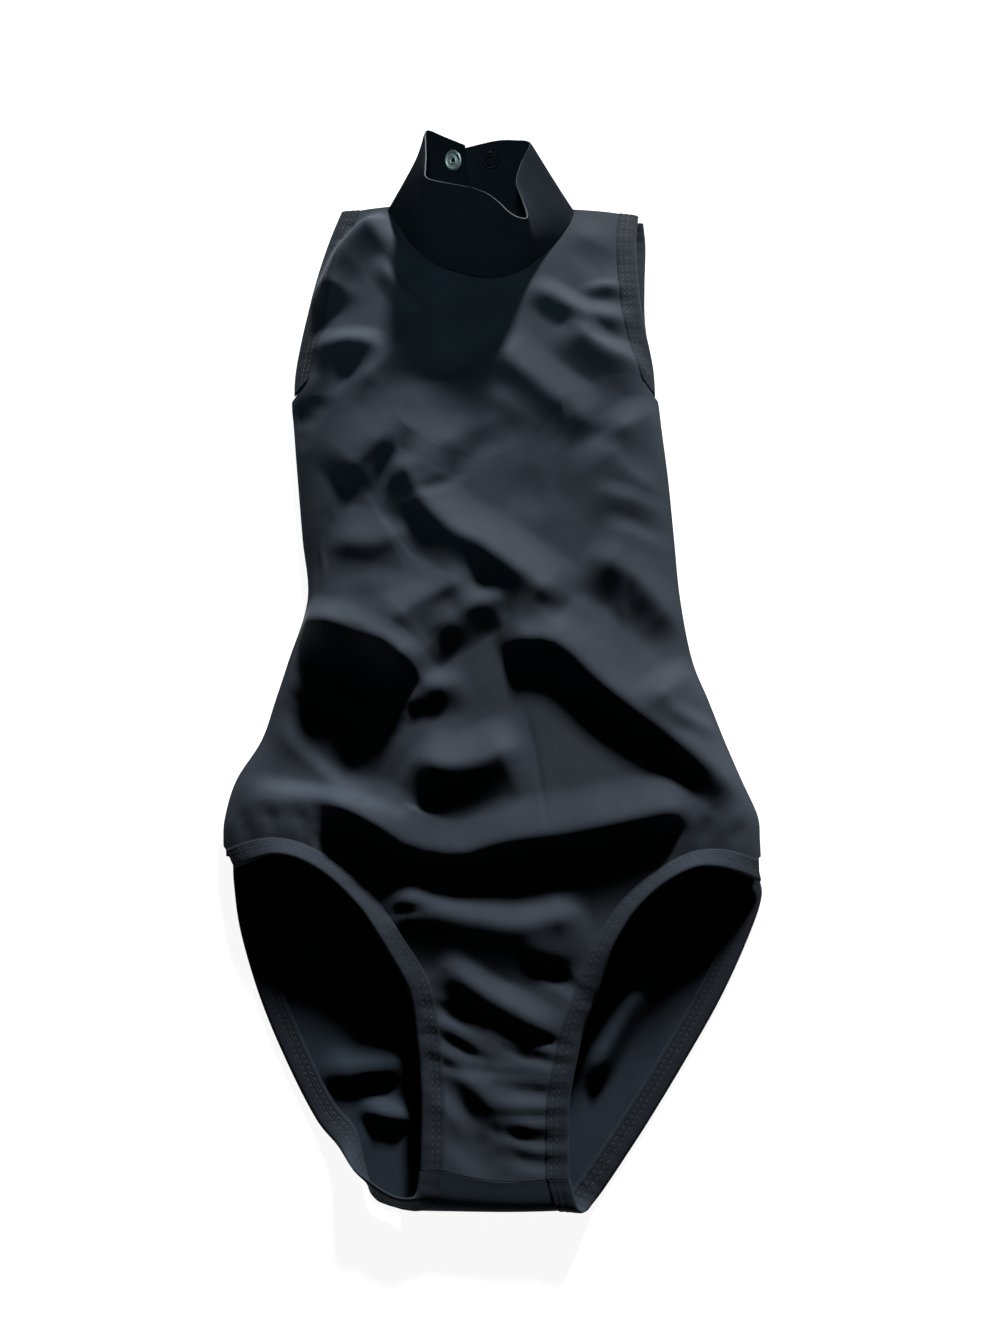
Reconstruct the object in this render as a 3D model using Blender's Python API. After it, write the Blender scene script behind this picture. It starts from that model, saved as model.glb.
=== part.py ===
"""Mock neck leotard laid face up on a table: thin cloth walls, hems, a standing collar and an open snap.

All tables are in millimetres, in the garment's own layout: x = 0 near the middle of the hips, y = 0 at the
crotch fold and growing towards the collar, z = 0 on the table that the cloth lies on.
"""
import math
from typing import NamedTuple

import bpy
import numpy as np

MM = 0.001

# Cloth and hems
PANEL_WALL = 1.3
BACK_WALL = 1.2
COLLAR_WALL = 1.8
HEM_WALL = 2.1
SEAM_GAP = 0.3
PITCH_GAP = 0.9
LEG_HEM_WIDTH = 10.5
ARM_HEM_WIDTH = 11.5
SIDE_ROUNDING = 13.0
FLOOR_SOFTNESS = 0.8
LOWEST_FRONT = 2.2
LOWEST_FRONT_UNDERSIDE = 1.5
CREST_RADIUS = 3.0
FOLD_TAPER = 18.0
FOLD_FALL = 1.5
CROTCH_SEAM_SAG = 2.5
COLLAR_SEAM_OFFSET = (2.3, 1.5)

# Where the layout's own zero lies in the finished part, whose origin is under the middle of its box
MIDDLE_X = -2.6
MIDDLE_Y = 285.2

# How finely each piece is divided
LEG_STEPS_LEFT = 14
LEG_STEPS_RIGHT = 13
CHORD_STEPS = 13
THIGH_STEPS = 11
SIDE_STEPS = 27
ARM_STEPS = 12
BACK_COLUMNS = 16
BACK_LEG_STEPS = 2
COLLAR_COLUMNS = 46
COLLAR_ROWS = 5
SNAP_SIDES = 20
RISE_STEPS = 8


class Section(NamedTuple):
    """The garment cut across at y: its two side folds, their heights, and the front's height over them."""

    y: float
    left: float
    right: float
    left_z: float
    right_z: float
    crown: float


SECTIONS = (
    Section(0.0, -131.0, 129.0, 3.6, 3.6, 6.6),
    Section(60.0, -131.0, 129.0, 3.6, 3.6, 6.4),
    Section(110.0, -131.0, 129.0, 3.6, 3.6, 6.0),
    Section(135.0, -131.5, 129.0, 3.6, 3.6, 6.5),
    Section(152.0, -133.0, 129.5, 3.6, 3.6, 8.5),
    Section(168.0, -135.0, 129.8, 3.6, 3.6, 10.5),
    Section(180.0, -135.0, 129.5, 3.0, 3.0, 12.0),
    Section(198.0, -130.7, 122.6, 2.4, 2.4, 12.0),
    Section(218.0, -119.4, 115.2, 2.2, 2.2, 11.5),
    Section(239.0, -113.5, 108.2, 2.2, 2.2, 11.0),
    Section(260.0, -107.9, 101.0, 2.2, 2.2, 10.5),
    Section(293.0, -99.6, 96.3, 2.2, 2.2, 10.0),
    Section(327.0, -104.0, 94.6, 2.2, 2.2, 9.5),
    Section(362.0, -108.4, 92.9, 2.2, 2.2, 9.5),
    Section(392.0, -112.0, 90.4, 2.6, 2.8, 9.5),
    Section(410.0, -113.7, 88.8, 3.6, 4.0, 9.5),
    Section(435.0, -111.6, 84.5, 3.6, 5.5, 9.0),
    Section(461.0, -108.9, 81.5, 3.6, 7.0, 8.0),
    Section(491.0, -103.5, 79.5, 3.6, 7.5, 7.5),
    Section(515.0, -97.6, 80.5, 3.6, 7.0, 6.5),
    Section(532.0, -91.5, 83.0, 3.8, 6.0, 5.5),
)


class Fold(NamedTuple):
    """A fold in the cloth: its crest runs along the path, and it fades out over each side's reach."""

    name: str
    path: tuple
    height: float
    reach_left: float
    reach_right: float


FRONT_FOLDS = (
    Fold(
        "hip ridge",
        ((-92, 186), (-78, 184), (-60, 175), (-42, 164), (-18, 160), (4, 166), (40, 171), (98, 184)),
        5.5, 22, 12,
    ),
    Fold("left hip line", ((-130, 189), (-112, 187), (-95, 186), (-80, 185)), 1.5, 7, 9),
    Fold(
        "deep right hip fold",
        ((-2, 264), (12, 267), (25, 267), (36, 261), (53, 244), (78, 224), (107, 202), (124, 186)),
        8.5, 34, 16,
    ),
    Fold(
        "left waist fold",
        ((-112, 281), (-96, 279), (-78, 275), (-62, 269), (-49, 260), (-36, 246)),
        8.5, 38, 26,
    ),
    Fold(
        "left waist crest",
        ((-74, 273), (-60, 267), (-48, 258), (-39, 247), (-29, 243), (-14, 249)),
        4, 12, 16,
    ),
    Fold(
        "long waist diagonal",
        ((-58, 374), (-46, 356), (-36, 339), (-22, 326), (-5, 316), (36, 284)),
        8, 24, 22,
    ),
    Fold("belly fold", ((-46, 209), (-38, 205), (-24, 202), (-9, 204), (5, 210), (17, 213)), 7.5, 20, 26),
    Fold(
        "diamond rim",
        ((-88, 354), (-76, 366), (-62, 380), (-50, 387), (-34, 374), (-16, 364)),
        6.5, 36, 24,
    ),
    Fold("diamond hollow", ((-68, 363), (-54, 358)), -3, 18, 18),
    Fold("middle waist crest", ((-62, 270), (-50, 280), (-38, 289), (-22, 297), (-6, 302)), 6.5, 34, 19),
    Fold("middle waist ridge", ((-38, 270), (-24, 276), (-12, 285), (0, 289), (10, 290)), 5, 14, 16),
    Fold(
        "crotch top fold",
        ((-56, 144), (-44, 138), (-28, 132), (-8, 128), (14, 126), (46, 134)),
        5.5, 17, 26,
    ),
    Fold("crotch middle fold", ((-31, 112), (-17, 103), (-3, 94), (12, 86), (31, 76)), 3.5, 11, 12),
    Fold("left chest diagonal", ((-34, 460), (-44, 448), (-56, 435), (-68, 421), (-80, 406)), 3.5, 13, 12),
    Fold("left armhole fold", ((-110, 436), (-98, 439), (-82, 440), (-70, 438), (-60, 433)), 5.5, 12, 20),
    Fold("left shoulder ridge", ((-102, 462), (-96, 480), (-88, 498), (-76, 512), (-62, 523)), 6, 12, 32),
    Fold("right chest upper fold", ((14, 477), (30, 468), (44, 459), (58, 455), (80, 456)), 3.5, 12, 13),
    Fold("right chest lower fold", ((36, 455), (48, 443), (60, 434), (76, 428), (94, 417)), 5, 13, 22),
    Fold("right chest broad fold", ((-6, 444), (8, 426), (24, 410), (42, 396), (58, 384)), 4, 22, 30),
    Fold("right side upper fold", ((56, 378), (70, 388), (84, 397), (98, 408)), 6, 16, 34),
    Fold("right waist fold", ((52, 386), (60, 374), (72, 360), (92, 348)), 4, 16, 36),
    Fold("right side fold", ((44, 317), (58, 310), (70, 303), (82, 290), (98, 272)), 6, 28, 24),
    Fold("right hip upper fold", ((72, 228), (84, 239), (98, 250), (114, 253)), 6, 14, 22),
    Fold(
        "left waist upper fold",
        ((-94, 324), (-80, 321), (-66, 320), (-54, 324), (-44, 334)),
        4.5, 24, 28,
    ),
    Fold("left side crease", ((-90, 334), (-95, 316), (-98, 296)), -1.75, 6, 12),
    Fold("left hip hollow", ((-76, 238), (-84, 224), (-98, 208)), -12, 40, 40),
    Fold("left hip lower hollow", ((-124, 202), (-100, 198), (-76, 194), (-48, 185)), -5, 30, 9),
    Fold("left chest hollow", ((-92, 426), (-78, 427)), -2, 16, 18),
    Fold("middle chest hollow", ((-28, 438), (-20, 418)), -3.5, 32, 32),
)

BACK_FOLDS = (
    Fold("right leg opening fold", ((75, 107), (63, 90), (51, 70), (41, 51)), 5.0, 10, 14),
    Fold("left leg opening fold", ((-88, 60), (-74, 60), (-56, 62), (-34, 66)), 4.0, 16, 9),
    Fold("left leg lower fold", ((-67, 46), (-56, 43), (-44, 41), (-32, 43)), 3.5, 9, 7),
)


class Edge(NamedTuple):
    """A place on the seam between the front and a hem, and which way the hem runs out from it, in degrees."""

    x: float
    y: float
    heading: float
    pitch: float


LEG_FRONT_LEFT = (
    Edge(-133.0, 163.0, -58, 0),
    Edge(-121.0, 166.5, -70, 18),
    Edge(-109.0, 168.0, -82, 36),
    Edge(-97.0, 166.0, -97, 44),
    Edge(-86.0, 161.5, -112, 46),
    Edge(-76.0, 155.5, -123, 44),
    Edge(-67.0, 148.0, -132, 42),
    Edge(-58.0, 139.0, -140, 40),
    Edge(-51.0, 130.0, -147, 36),
    Edge(-44.0, 120.0, -153, 30),
    Edge(-36.5, 109.0, -158, 20),
    Edge(-31.0, 98.0, -165, 8),
    Edge(-28.0, 84.0, -173, 0),
    Edge(-26.0, 70.0, -180, 0),
    Edge(-24.6, 56.0, -180, 0),
    Edge(-24.0, 42.0, -180, 0),
    Edge(-24.2, 19.9, -180, 0),
)
LEG_FRONT_RIGHT = (
    Edge(127.0, 158.0, -80, 0),
    Edge(117.5, 161.0, -84, 16),
    Edge(108.0, 162.5, -89, 30),
    Edge(98.0, 162.0, -88, 40),
    Edge(89.0, 159.0, -76, 48),
    Edge(79.0, 153.5, -62, 52),
    Edge(69.0, 146.5, -50, 50),
    Edge(59.5, 137.5, -38, 48),
    Edge(52.0, 127.5, -27, 44),
    Edge(46.0, 118.0, -19, 38),
    Edge(41.5, 108.0, -13, 28),
    Edge(38.0, 99.0, -9, 18),
    Edge(34.5, 91.0, -6, 8),
    Edge(30.0, 80.0, -3, 0),
    Edge(27.0, 67.0, 0, 0),
    Edge(24.2, 55.0, 0, 0),
    Edge(22.6, 42.0, 0, 0),
    Edge(22.3, 16.2, 0, 0),
)
ARM_FRONT_LEFT = (
    Edge(-104.6, 420.0, 226, 0),
    Edge(-101.0, 436.0, 192, 0),
    Edge(-97.0, 459.0, 171, 0),
    Edge(-92.6, 484.0, 169, 0),
    Edge(-86.5, 509.0, 166, 0),
    Edge(-80.0, 530.5, 172, 0),
)
ARM_FRONT_RIGHT = (
    Edge(79.6, 420.0, -46, 0),
    Edge(75.2, 436.0, -12, 3),
    Edge(70.4, 459.0, 5, 8),
    Edge(68.6, 484.0, 2, 10),
    Edge(68.4, 509.0, 0, 8),
    Edge(70.6, 526.5, 0, 4),
)


class Strip(NamedTuple):
    """A cross section of a hem on the back panel: its free edge, then its seam with the panel."""

    edge_x: float
    edge_y: float
    edge_z: float
    seam_x: float
    seam_y: float
    seam_z: float


LEG_BACK_LEFT = (
    Strip(-130.5, 157.0, 1.05, -120.5, 160.0, 1.05),
    Strip(-129.2, 146.0, 1.05, -118.9, 148.0, 1.05),
    Strip(-124.5, 124.0, 1.05, -114.5, 127.0, 1.05),
    Strip(-113.0, 93.0, 1.05, -103.5, 97.5, 1.05),
    Strip(-98.5, 64.0, 1.05, -89.2, 69.0, 1.05),
    Strip(-84.0, 40.0, 1.40, -76.0, 46.8, 1.05),
    Strip(-73.0, 29.0, 4.50, -66.0, 36.0, 1.30),
    Strip(-64.5, 20.5, 11.60, -60.7, 20.0, 1.90),
    Strip(-54.5, 13.5, 10.70, -56.0, 7.8, 2.15),
    Strip(-46.0, 9.2, 10.90, -47.0, 3.6, 2.20),
    Strip(-39.5, 8.6, 11.00, -35.5, 2.2, 3.80),
    Strip(-36.2, 10.6, 10.40, -26.5, 6.8, 8.60),
    Strip(-34.8, 19.5, 10.20, -24.4, 19.5, 10.20),
)
LEG_BACK_RIGHT = (
    Strip(129.0, 151.0, 1.05, 118.5, 151.0, 1.05),
    Strip(129.6, 140.0, 1.05, 119.6, 143.0, 1.05),
    Strip(121.2, 120.0, 1.05, 112.0, 125.0, 1.05),
    Strip(106.7, 93.0, 1.05, 97.8, 98.5, 1.05),
    Strip(89.2, 66.0, 1.05, 80.5, 72.0, 1.05),
    Strip(71.3, 40.0, 1.05, 63.0, 46.5, 1.05),
    Strip(58.8, 23.0, 1.05, 50.5, 29.5, 1.05),
    Strip(52.0, 14.0, 1.05, 44.0, 20.8, 1.05),
    Strip(47.5, 8.3, 1.10, 39.3, 14.8, 1.10),
    Strip(43.6, 4.2, 2.20, 34.2, 8.6, 1.30),
    Strip(40.4, 1.9, 5.00, 30.0, 2.9, 4.40),
    Strip(36.6, 4.2, 9.00, 26.2, 4.8, 8.80),
    Strip(33.3, 15.8, 10.20, 22.8, 15.8, 10.20),
)
ARM_BACK_LEFT = (
    Strip(-111.2, 411.6, 1.05, -103.2, 419.8, 1.05),
    Strip(-110.2, 432.0, 1.05, -99.3, 435.6, 1.05),
    Strip(-106.6, 460.0, 1.05, -95.1, 458.0, 1.05),
    Strip(-102.0, 485.0, 1.05, -90.7, 482.5, 1.05),
    Strip(-95.8, 510.0, 1.05, -84.6, 507.0, 1.05),
    Strip(-90.0, 529.5, 1.25, -78.6, 528.5, 1.25),
)
ARM_BACK_RIGHT = (
    Strip(88.4, 411.6, 1.05, 80.2, 419.8, 1.05),
    Strip(87.0, 432.0, 1.05, 76.0, 435.4, 1.05),
    Strip(84.4, 460.0, 1.05, 72.9, 459.0, 1.05),
    Strip(85.0, 485.0, 1.05, 73.5, 485.0, 1.05),
    Strip(86.4, 510.0, 1.30, 74.9, 510.0, 1.30),
    Strip(85.4, 525.0, 3.20, 73.9, 525.4, 3.20),
)


class Rise(NamedTuple):
    """A column of the collar: its place on the neck seam, then its place on the free rim."""

    seam_x: float
    seam_y: float
    seam_z: float
    rim_x: float
    rim_y: float
    rim_z: float


COLLAR = (
    Rise(-12.0, 527.3, 6.6, -18.5, 553.6, 33.0),
    Rise(-28.0, 528.6, 6.8, -29.5, 562.0, 29.5),
    Rise(-47.0, 531.4, 8.2, -40.4, 569.0, 27.0),
    Rise(-60.6, 531.8, 10.2, -40.6, 556.0, 31.5),
    Rise(-60.8, 526.5, 10.8, -39.8, 543.0, 36.5),
    Rise(-56.6, 517.5, 11.2, -39.6, 531.0, 41.0),
    Rise(-47.6, 502.6, 12.0, -38.4, 523.0, 43.0),
    Rise(-37.2, 492.6, 13.0, -27.0, 519.6, 43.0),
    Rise(-26.8, 486.6, 13.8, -15.0, 517.0, 43.0),
    Rise(-9.8, 481.6, 14.2, -5.6, 513.0, 43.0),
    Rise(1.0, 481.6, 14.2, 1.0, 508.0, 42.0),
    Rise(8.6, 483.6, 14.0, 6.4, 502.8, 41.0),
    Rise(14.4, 486.8, 13.6, 11.6, 500.2, 40.0),
    Rise(20.0, 490.8, 14.0, 16.4, 501.4, 39.0),
    Rise(29.4, 500.2, 13.8, 13.6, 515.7, 36.0),
    Rise(37.4, 511.4, 13.2, 10.6, 528.7, 33.0),
    Rise(42.6, 521.6, 12.2, 13.4, 544.8, 29.0),
    Rise(42.8, 528.2, 10.8, 18.6, 561.5, 25.5),
    Rise(31.0, 528.8, 7.6, 10.0, 564.0, 25.0),
    Rise(16.0, 528.2, 5.4, 0.5, 564.2, 24.6),
    Rise(5.0, 527.8, 4.2, -9.0, 562.6, 23.8),
    Rise(-5.0, 527.6, 3.8, -17.5, 560.8, 23.0),
    Rise(-17.0, 527.4, 3.6, -25.5, 559.6, 22.4),
)

BACK_TOP = (
    (-78.6, 528.5, 0.6),
    (-70.0, 529.2, 3.4),
    (-61.5, 529.6, 6.6),
    (-47.0, 528.6, 6.2),
    (-28.0, 526.2, 3.4),
    (-9.0, 525.2, 1.8),
    (12.0, 525.4, 1.8),
    (28.0, 526.0, 3.4),
    (43.5, 526.6, 6.4),
    (59.0, 525.8, 5.2),
    (73.9, 525.4, 2.8),
)
BACK_TOP_FADE = 9.0
SIDE_TOP = 408.6
ARMHOLE_NOTCH = 0.8
FRONT_NECK_COLUMNS = (3, 17)
NECK_CENTRE = (-9.0, 526.0)


class Snap(NamedTuple):
    """One face of the snap: which column and height of the collar it sits on, and its turned profile."""

    name: str
    column: float
    height: float
    side: int
    radius: float
    hole: float
    metal: bool


SNAPS = (
    Snap("snap_ring_left", 0.030, 0.735, -1, 5.4, 1.2, True),
    Snap("snap_stud_left", 0.030, 0.735, 1, 4.6, 0.0, True),
    Snap("snap_socket_right", 0.900, 0.770, -1, 4.9, 1.6, False),
    Snap("snap_cap_right", 0.900, 0.770, 1, 5.2, 0.0, False),
)
SNAP_LIFT = 0.8
SNAP_DEPTH = 0.9
STANDING_SEAM_Z = 2.6


def smooth_rows(rows, count, lengths=2):
    """Points on a smooth curve through every row, evenly spaced by the first columns, which are lengths."""
    rows = np.asarray(rows, float)
    ends = np.vstack([2 * rows[0] - rows[1], rows, 2 * rows[-1] - rows[-2]])
    step = np.linspace(0.0, 1.0, 12, endpoint=False)[:, None]
    spans = []
    for before, here, there, after in zip(ends, ends[1:], ends[2:], ends[3:]):
        bend = 2 * before - 5 * here + 4 * there - after
        twist = 3 * (here - there) + after - before
        spans.append(here + 0.5 * step * (there - before + step * (bend + step * twist)))
    fine = np.vstack(spans + [rows[-1:]])
    way = np.linalg.norm(np.diff(fine[:, :lengths], axis=0), axis=1)
    way = np.concatenate([[0.0], np.cumsum(way)])
    at = np.linspace(0.0, way[-1], count)
    return np.column_stack([np.interp(at, way, column) for column in fine.T])


def between_rows(rows, steps):
    """The same smooth curve with a fixed number of steps from each row to the next."""
    rows = np.asarray(rows, float)
    ends = np.vstack([2 * rows[0] - rows[1], rows, 2 * rows[-1] - rows[-2]])
    step = np.linspace(0.0, 1.0, steps, endpoint=False)[:, None]
    spans = []
    for before, here, there, after in zip(ends, ends[1:], ends[2:], ends[3:]):
        bend = 2 * before - 5 * here + 4 * there - after
        twist = 3 * (here - there) + after - before
        spans.append(here + 0.5 * step * (there - before + step * (bend + step * twist)))
    return np.vstack(spans + [rows[-1:]])


SECTION_CURVE = between_rows(SECTIONS, 6)


def section_at(y):
    """The side folds, their heights and the crown at each y."""
    return [np.interp(y, SECTION_CURVE[:, 0], SECTION_CURVE[:, k]) for k in range(1, 6)]


def fold_height(x, y, folds):
    """Adds up the folds. A crest falls away as a power of (1 - u), where u is the distance from it as a share
    of its reach, rounded over the crest's radius. A hollow is the bowl (1 - t squared) squared."""
    total = np.zeros_like(x)
    for fold in folds:
        path = smooth_rows(fold.path, 20)
        start, run = path[:-1], np.diff(path, axis=0)
        from_start = np.stack([x[..., None] - start[:, 0], y[..., None] - start[:, 1]], -1)
        share = np.clip((from_start * run).sum(-1) / (run**2).sum(-1), 0.0, 1.0)
        away = from_start - share[..., None] * run
        distance = np.hypot(away[..., 0], away[..., 1])
        nearest = distance.argmin(-1)[..., None]
        near = np.take_along_axis(distance, nearest, -1)[..., 0]
        turn = run[:, 0] * from_start[..., 1] - run[:, 1] * from_start[..., 0]
        on_left = np.take_along_axis(turn, nearest, -1)[..., 0] > 0
        reach = np.where(on_left, fold.reach_left, fold.reach_right)
        along = (nearest[..., 0] + np.take_along_axis(share, nearest, -1)[..., 0]) / len(run)
        taper = min(0.4, FOLD_TAPER / np.linalg.norm(run, axis=1).sum())
        fade = np.clip(np.minimum(along, 1.0 - along) / taper, 0.0, 1.0)
        ends = fade * fade * (3 - 2 * fade)
        if fold.height > 0:
            rounded = np.hypot(near, CREST_RADIUS) - CREST_RADIUS
            whole = np.hypot(reach, CREST_RADIUS) - CREST_RADIUS
            across = (1.0 - np.clip(rounded / whole, 0.0, 1.0)) ** FOLD_FALL
        else:
            ends = 0.35 + 0.65 * ends
            across = np.clip(1.0 - (near / reach) ** 2, 0.0, 1.0) ** 2
        total += fold.height * ends * across
    return total


def front_height(x, y):
    """Height of the middle of the front's wall: round at the sides, crowned between them, and creased."""
    left, right, left_z, right_z, crown = section_at(y)
    inside = np.maximum(np.minimum(x - left, right - x), 0.0)
    across = np.clip((x - left) / (right - left), 0.0, 1.0)
    edge = left_z + (right_z - left_z) * across
    swell = 1.0 - np.exp(-inside / SIDE_ROUNDING)
    plain = edge + crown * swell + fold_height(x, y, FRONT_FOLDS) * swell
    over = (plain - LOWEST_FRONT) / FLOOR_SOFTNESS
    return LOWEST_FRONT + FLOOR_SOFTNESS * np.logaddexp(0.0, over)


def hem_rows(edges, width, count):
    """The seam of a hem that follows the front, and sections across the hem from there to its free edge."""
    rows = smooth_rows(edges, count)
    heading, pitch = np.radians(rows[:, 2]), np.radians(rows[:, 3])
    places = []
    for share in (None, 0.0, 0.5, 1.0):
        out = 0.0 if share is None else SEAM_GAP + PITCH_GAP * np.abs(np.sin(pitch)) + width * share
        x = rows[:, 0] + out * np.cos(pitch) * np.cos(heading)
        y = rows[:, 1] + out * np.cos(pitch) * np.sin(heading)
        z = front_height(x, y) + out * np.sin(pitch)
        places.append(np.column_stack([x, y, z]))
    return places[0], np.stack(places[1:], axis=1)


def strip_rows(strips, steps):
    """Sections of a hem on the back, and the panel's own edge just past them."""
    rows = between_rows(strips, steps)
    edge, seam = rows[:, :3], rows[:, 3:]
    out = (seam - edge) / np.linalg.norm(seam - edge, axis=1)[:, None]
    flat = seam[:, 2:] < STANDING_SEAM_Z
    gap = SEAM_GAP + 0.9 * np.abs(out[:, 2:])
    panel = np.where(flat & (out[:, 2:] < -0.5), seam, seam + gap * out)
    lowered = np.where(flat[:, 0], BACK_WALL / 2, panel[:, 2] - (HEM_WALL - BACK_WALL) / 2)
    panel = np.column_stack([panel[:, :2], np.maximum(lowered, BACK_WALL / 2)])
    return panel, np.stack([seam, (seam + edge) / 2, edge], axis=1)


def four_sided(bottom, top, left, right):
    """Fills four border curves: the mean of both rulings, less the plane through the corners."""
    u = np.linspace(0.0, 1.0, len(bottom))[:, None, None]
    v = np.linspace(0.0, 1.0, len(left))[None, :, None]
    upright = (1 - v) * bottom[:, None] + v * top[:, None]
    level = (1 - u) * left[None] + u * right[None]
    corners = (1 - u) * ((1 - v) * bottom[0] + v * top[0]) + u * ((1 - v) * bottom[-1] + v * top[-1])
    return upright + level - corners


def grid_faces(columns, rows, first=0):
    """Four-sided faces of a grid whose points run along its rows first."""
    index = first + np.arange(columns * rows).reshape(columns, rows)
    corners = (index[:-1, :-1], index[1:, :-1], index[1:, 1:], index[:-1, 1:])
    return np.stack(corners, -1).reshape(-1, 4)


def split_faces(points, faces):
    """Splits each four-sided face along the diagonal that changes height least, so creases stay clean."""
    height = points[faces, 2]
    first = np.abs(height[:, 0] - height[:, 2]) <= np.abs(height[:, 1] - height[:, 3])
    along = faces[first]
    across = faces[~first]
    parts = (along[:, [0, 1, 2]], along[:, [0, 2, 3]], across[:, [0, 1, 3]], across[:, [1, 2, 3]])
    return np.vstack(parts)


def new_material(name, colour, roughness, metallic):
    """A Principled material for one piece."""
    material = bpy.data.materials.new(name)
    material.use_nodes = True
    shader = material.node_tree.nodes["Principled BSDF"]
    shader.inputs["Base Color"].default_value = (*colour, 1.0)
    shader.inputs["Roughness"].default_value = roughness
    shader.inputs["Metallic"].default_value = metallic
    return material


def new_piece(name, points, faces, material):
    """Adds one named object from points in the layout's millimetres."""
    placed = (points - (MIDDLE_X, MIDDLE_Y, 0.0)) * MM
    mesh = bpy.data.meshes.new(name)
    mesh.from_pydata(placed.tolist(), [], faces)
    mesh.update()
    mesh.shade_smooth()
    mesh.set_sharp_from_angle(angle=math.radians(50))
    mesh.materials.append(material)
    piece = bpy.data.objects.new(name, mesh)
    bpy.context.scene.collection.objects.link(piece)
    return piece


def wall(name, middle, faces, thickness, material, lowest=0.0):
    """Makes a closed wall round a middle surface: each side lies half the thickness out along the normal."""
    middle = middle.reshape(-1, 3)
    corners = middle[faces]
    across = np.cross(corners[:, 2] - corners[:, 0], corners[:, 3] - corners[:, 1])
    normal = np.zeros_like(middle)
    for k in range(4):
        np.add.at(normal, faces[:, k], across)
    normal /= np.linalg.norm(normal, axis=1)[:, None]
    upper = middle + normal * thickness / 2
    lower = middle - normal * thickness / 2
    lower[:, 2] = np.maximum(lower[:, 2], lowest)
    count = len(middle)
    sides = np.stack([faces, np.roll(faces, -1, axis=1)], -1).reshape(-1, 2)
    ordered = np.sort(sides, axis=1)
    _, which, uses = np.unique(ordered, axis=0, return_inverse=True, return_counts=True)
    border = sides[uses[which.ravel()] == 1]
    rim = np.column_stack([border[:, 1], border[:, 0], border[:, 0] + count, border[:, 1] + count])
    cut = split_faces(middle, faces)
    every = cut.tolist() + (cut[:, ::-1] + count).tolist() + rim.tolist()
    return new_piece(name, np.vstack([upper, lower]), every, material)


def grid_wall(name, grid, thickness, material, lowest=0.0):
    """A wall round one grid of middle points."""
    return wall(name, grid, grid_faces(*grid.shape[:2]), thickness, material, lowest)


def neck_line():
    """The front's neck edge: the collar's seam, moved out from the neck opening."""
    first, last = FRONT_NECK_COLUMNS
    seam = between_rows(COLLAR, RISE_STEPS)[first * RISE_STEPS : last * RISE_STEPS + 1, :2]
    seam = smooth_rows(seam, CHORD_STEPS + 1)
    out = seam - NECK_CENTRE
    return seam + np.array(COLLAR_SEAM_OFFSET) * out / np.linalg.norm(out, axis=1)[:, None]


def front_piece(left_leg, right_leg, left_arm, right_arm, material):
    """The front: a four-sided body down to a chord over the crotch, and the tapering crotch below it."""
    chord_share = np.linspace(0.0, 1.0, CHORD_STEPS + 1)[:, None]
    chord_left, chord_right = left_leg[LEG_STEPS_LEFT], right_leg[LEG_STEPS_RIGHT]
    chord = chord_left + (chord_right - chord_left) * chord_share
    bottom = np.vstack([left_leg[:LEG_STEPS_LEFT], chord, right_leg[:LEG_STEPS_RIGHT][::-1]])[:, :2]
    neck = neck_line()
    left_shoulder = np.linspace(left_arm[-1, :2], neck[0], LEG_STEPS_LEFT + 1)
    right_shoulder = np.linspace(neck[-1], right_arm[-1, :2], LEG_STEPS_RIGHT + 1)
    top = np.vstack([left_shoulder[:-1], neck, right_shoulder[1:]])
    sides = []
    for leg, arm, column in ((left_leg, left_arm, 0), (right_leg, right_arm, 1)):
        y = np.linspace(leg[0, 1], SIDE_TOP, SIDE_STEPS + 1)
        x = section_at(y)[column]
        x[0] = leg[0, 0]
        notch = arm[:1, :2] - (0.0, ARMHOLE_NOTCH)
        sides.append(np.vstack([np.column_stack([x, y]), notch, arm[:, :2]]))
    body = four_sided(bottom, top, *sides)
    share = np.linspace(0.0, 1.0, CHORD_STEPS + 1)[:, None, None]
    thigh_left = left_leg[LEG_STEPS_LEFT:][None, :, :2]
    thigh_right = right_leg[LEG_STEPS_RIGHT:][None, :, :2]
    crotch = (1 - share) * thigh_left + share * thigh_right
    down = np.linspace(0.0, 1.0, THIGH_STEPS + 1)[None, :] ** 2
    crotch[..., 1] -= CROTCH_SEAM_SAG * 4 * share[..., 0] * (1 - share[..., 0]) * down
    plan = np.vstack([body.reshape(-1, 2), crotch[:, 1:].reshape(-1, 2)])
    index = np.arange(body.shape[0] * body.shape[1]).reshape(body.shape[:2])
    chord_index = index[LEG_STEPS_LEFT : LEG_STEPS_LEFT + CHORD_STEPS + 1, 0]
    rest = index.size + np.arange((CHORD_STEPS + 1) * THIGH_STEPS).reshape(CHORD_STEPS + 1, THIGH_STEPS)
    lower = np.column_stack([chord_index, rest])
    corners = (lower[:-1, :-1], lower[:-1, 1:], lower[1:, 1:], lower[1:, :-1])
    faces = np.vstack([grid_faces(*body.shape[:2]), np.stack(corners, -1).reshape(-1, 4)])
    points = np.column_stack([plan, front_height(plan[:, 0], plan[:, 1])])
    for border, start in ((left_leg, 0), (right_leg, len(bottom) - 1)):
        points[index[start, 0]] = border[0]
    return wall("front_panel", points, faces, PANEL_WALL, material, LOWEST_FRONT_UNDERSIDE)


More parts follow.
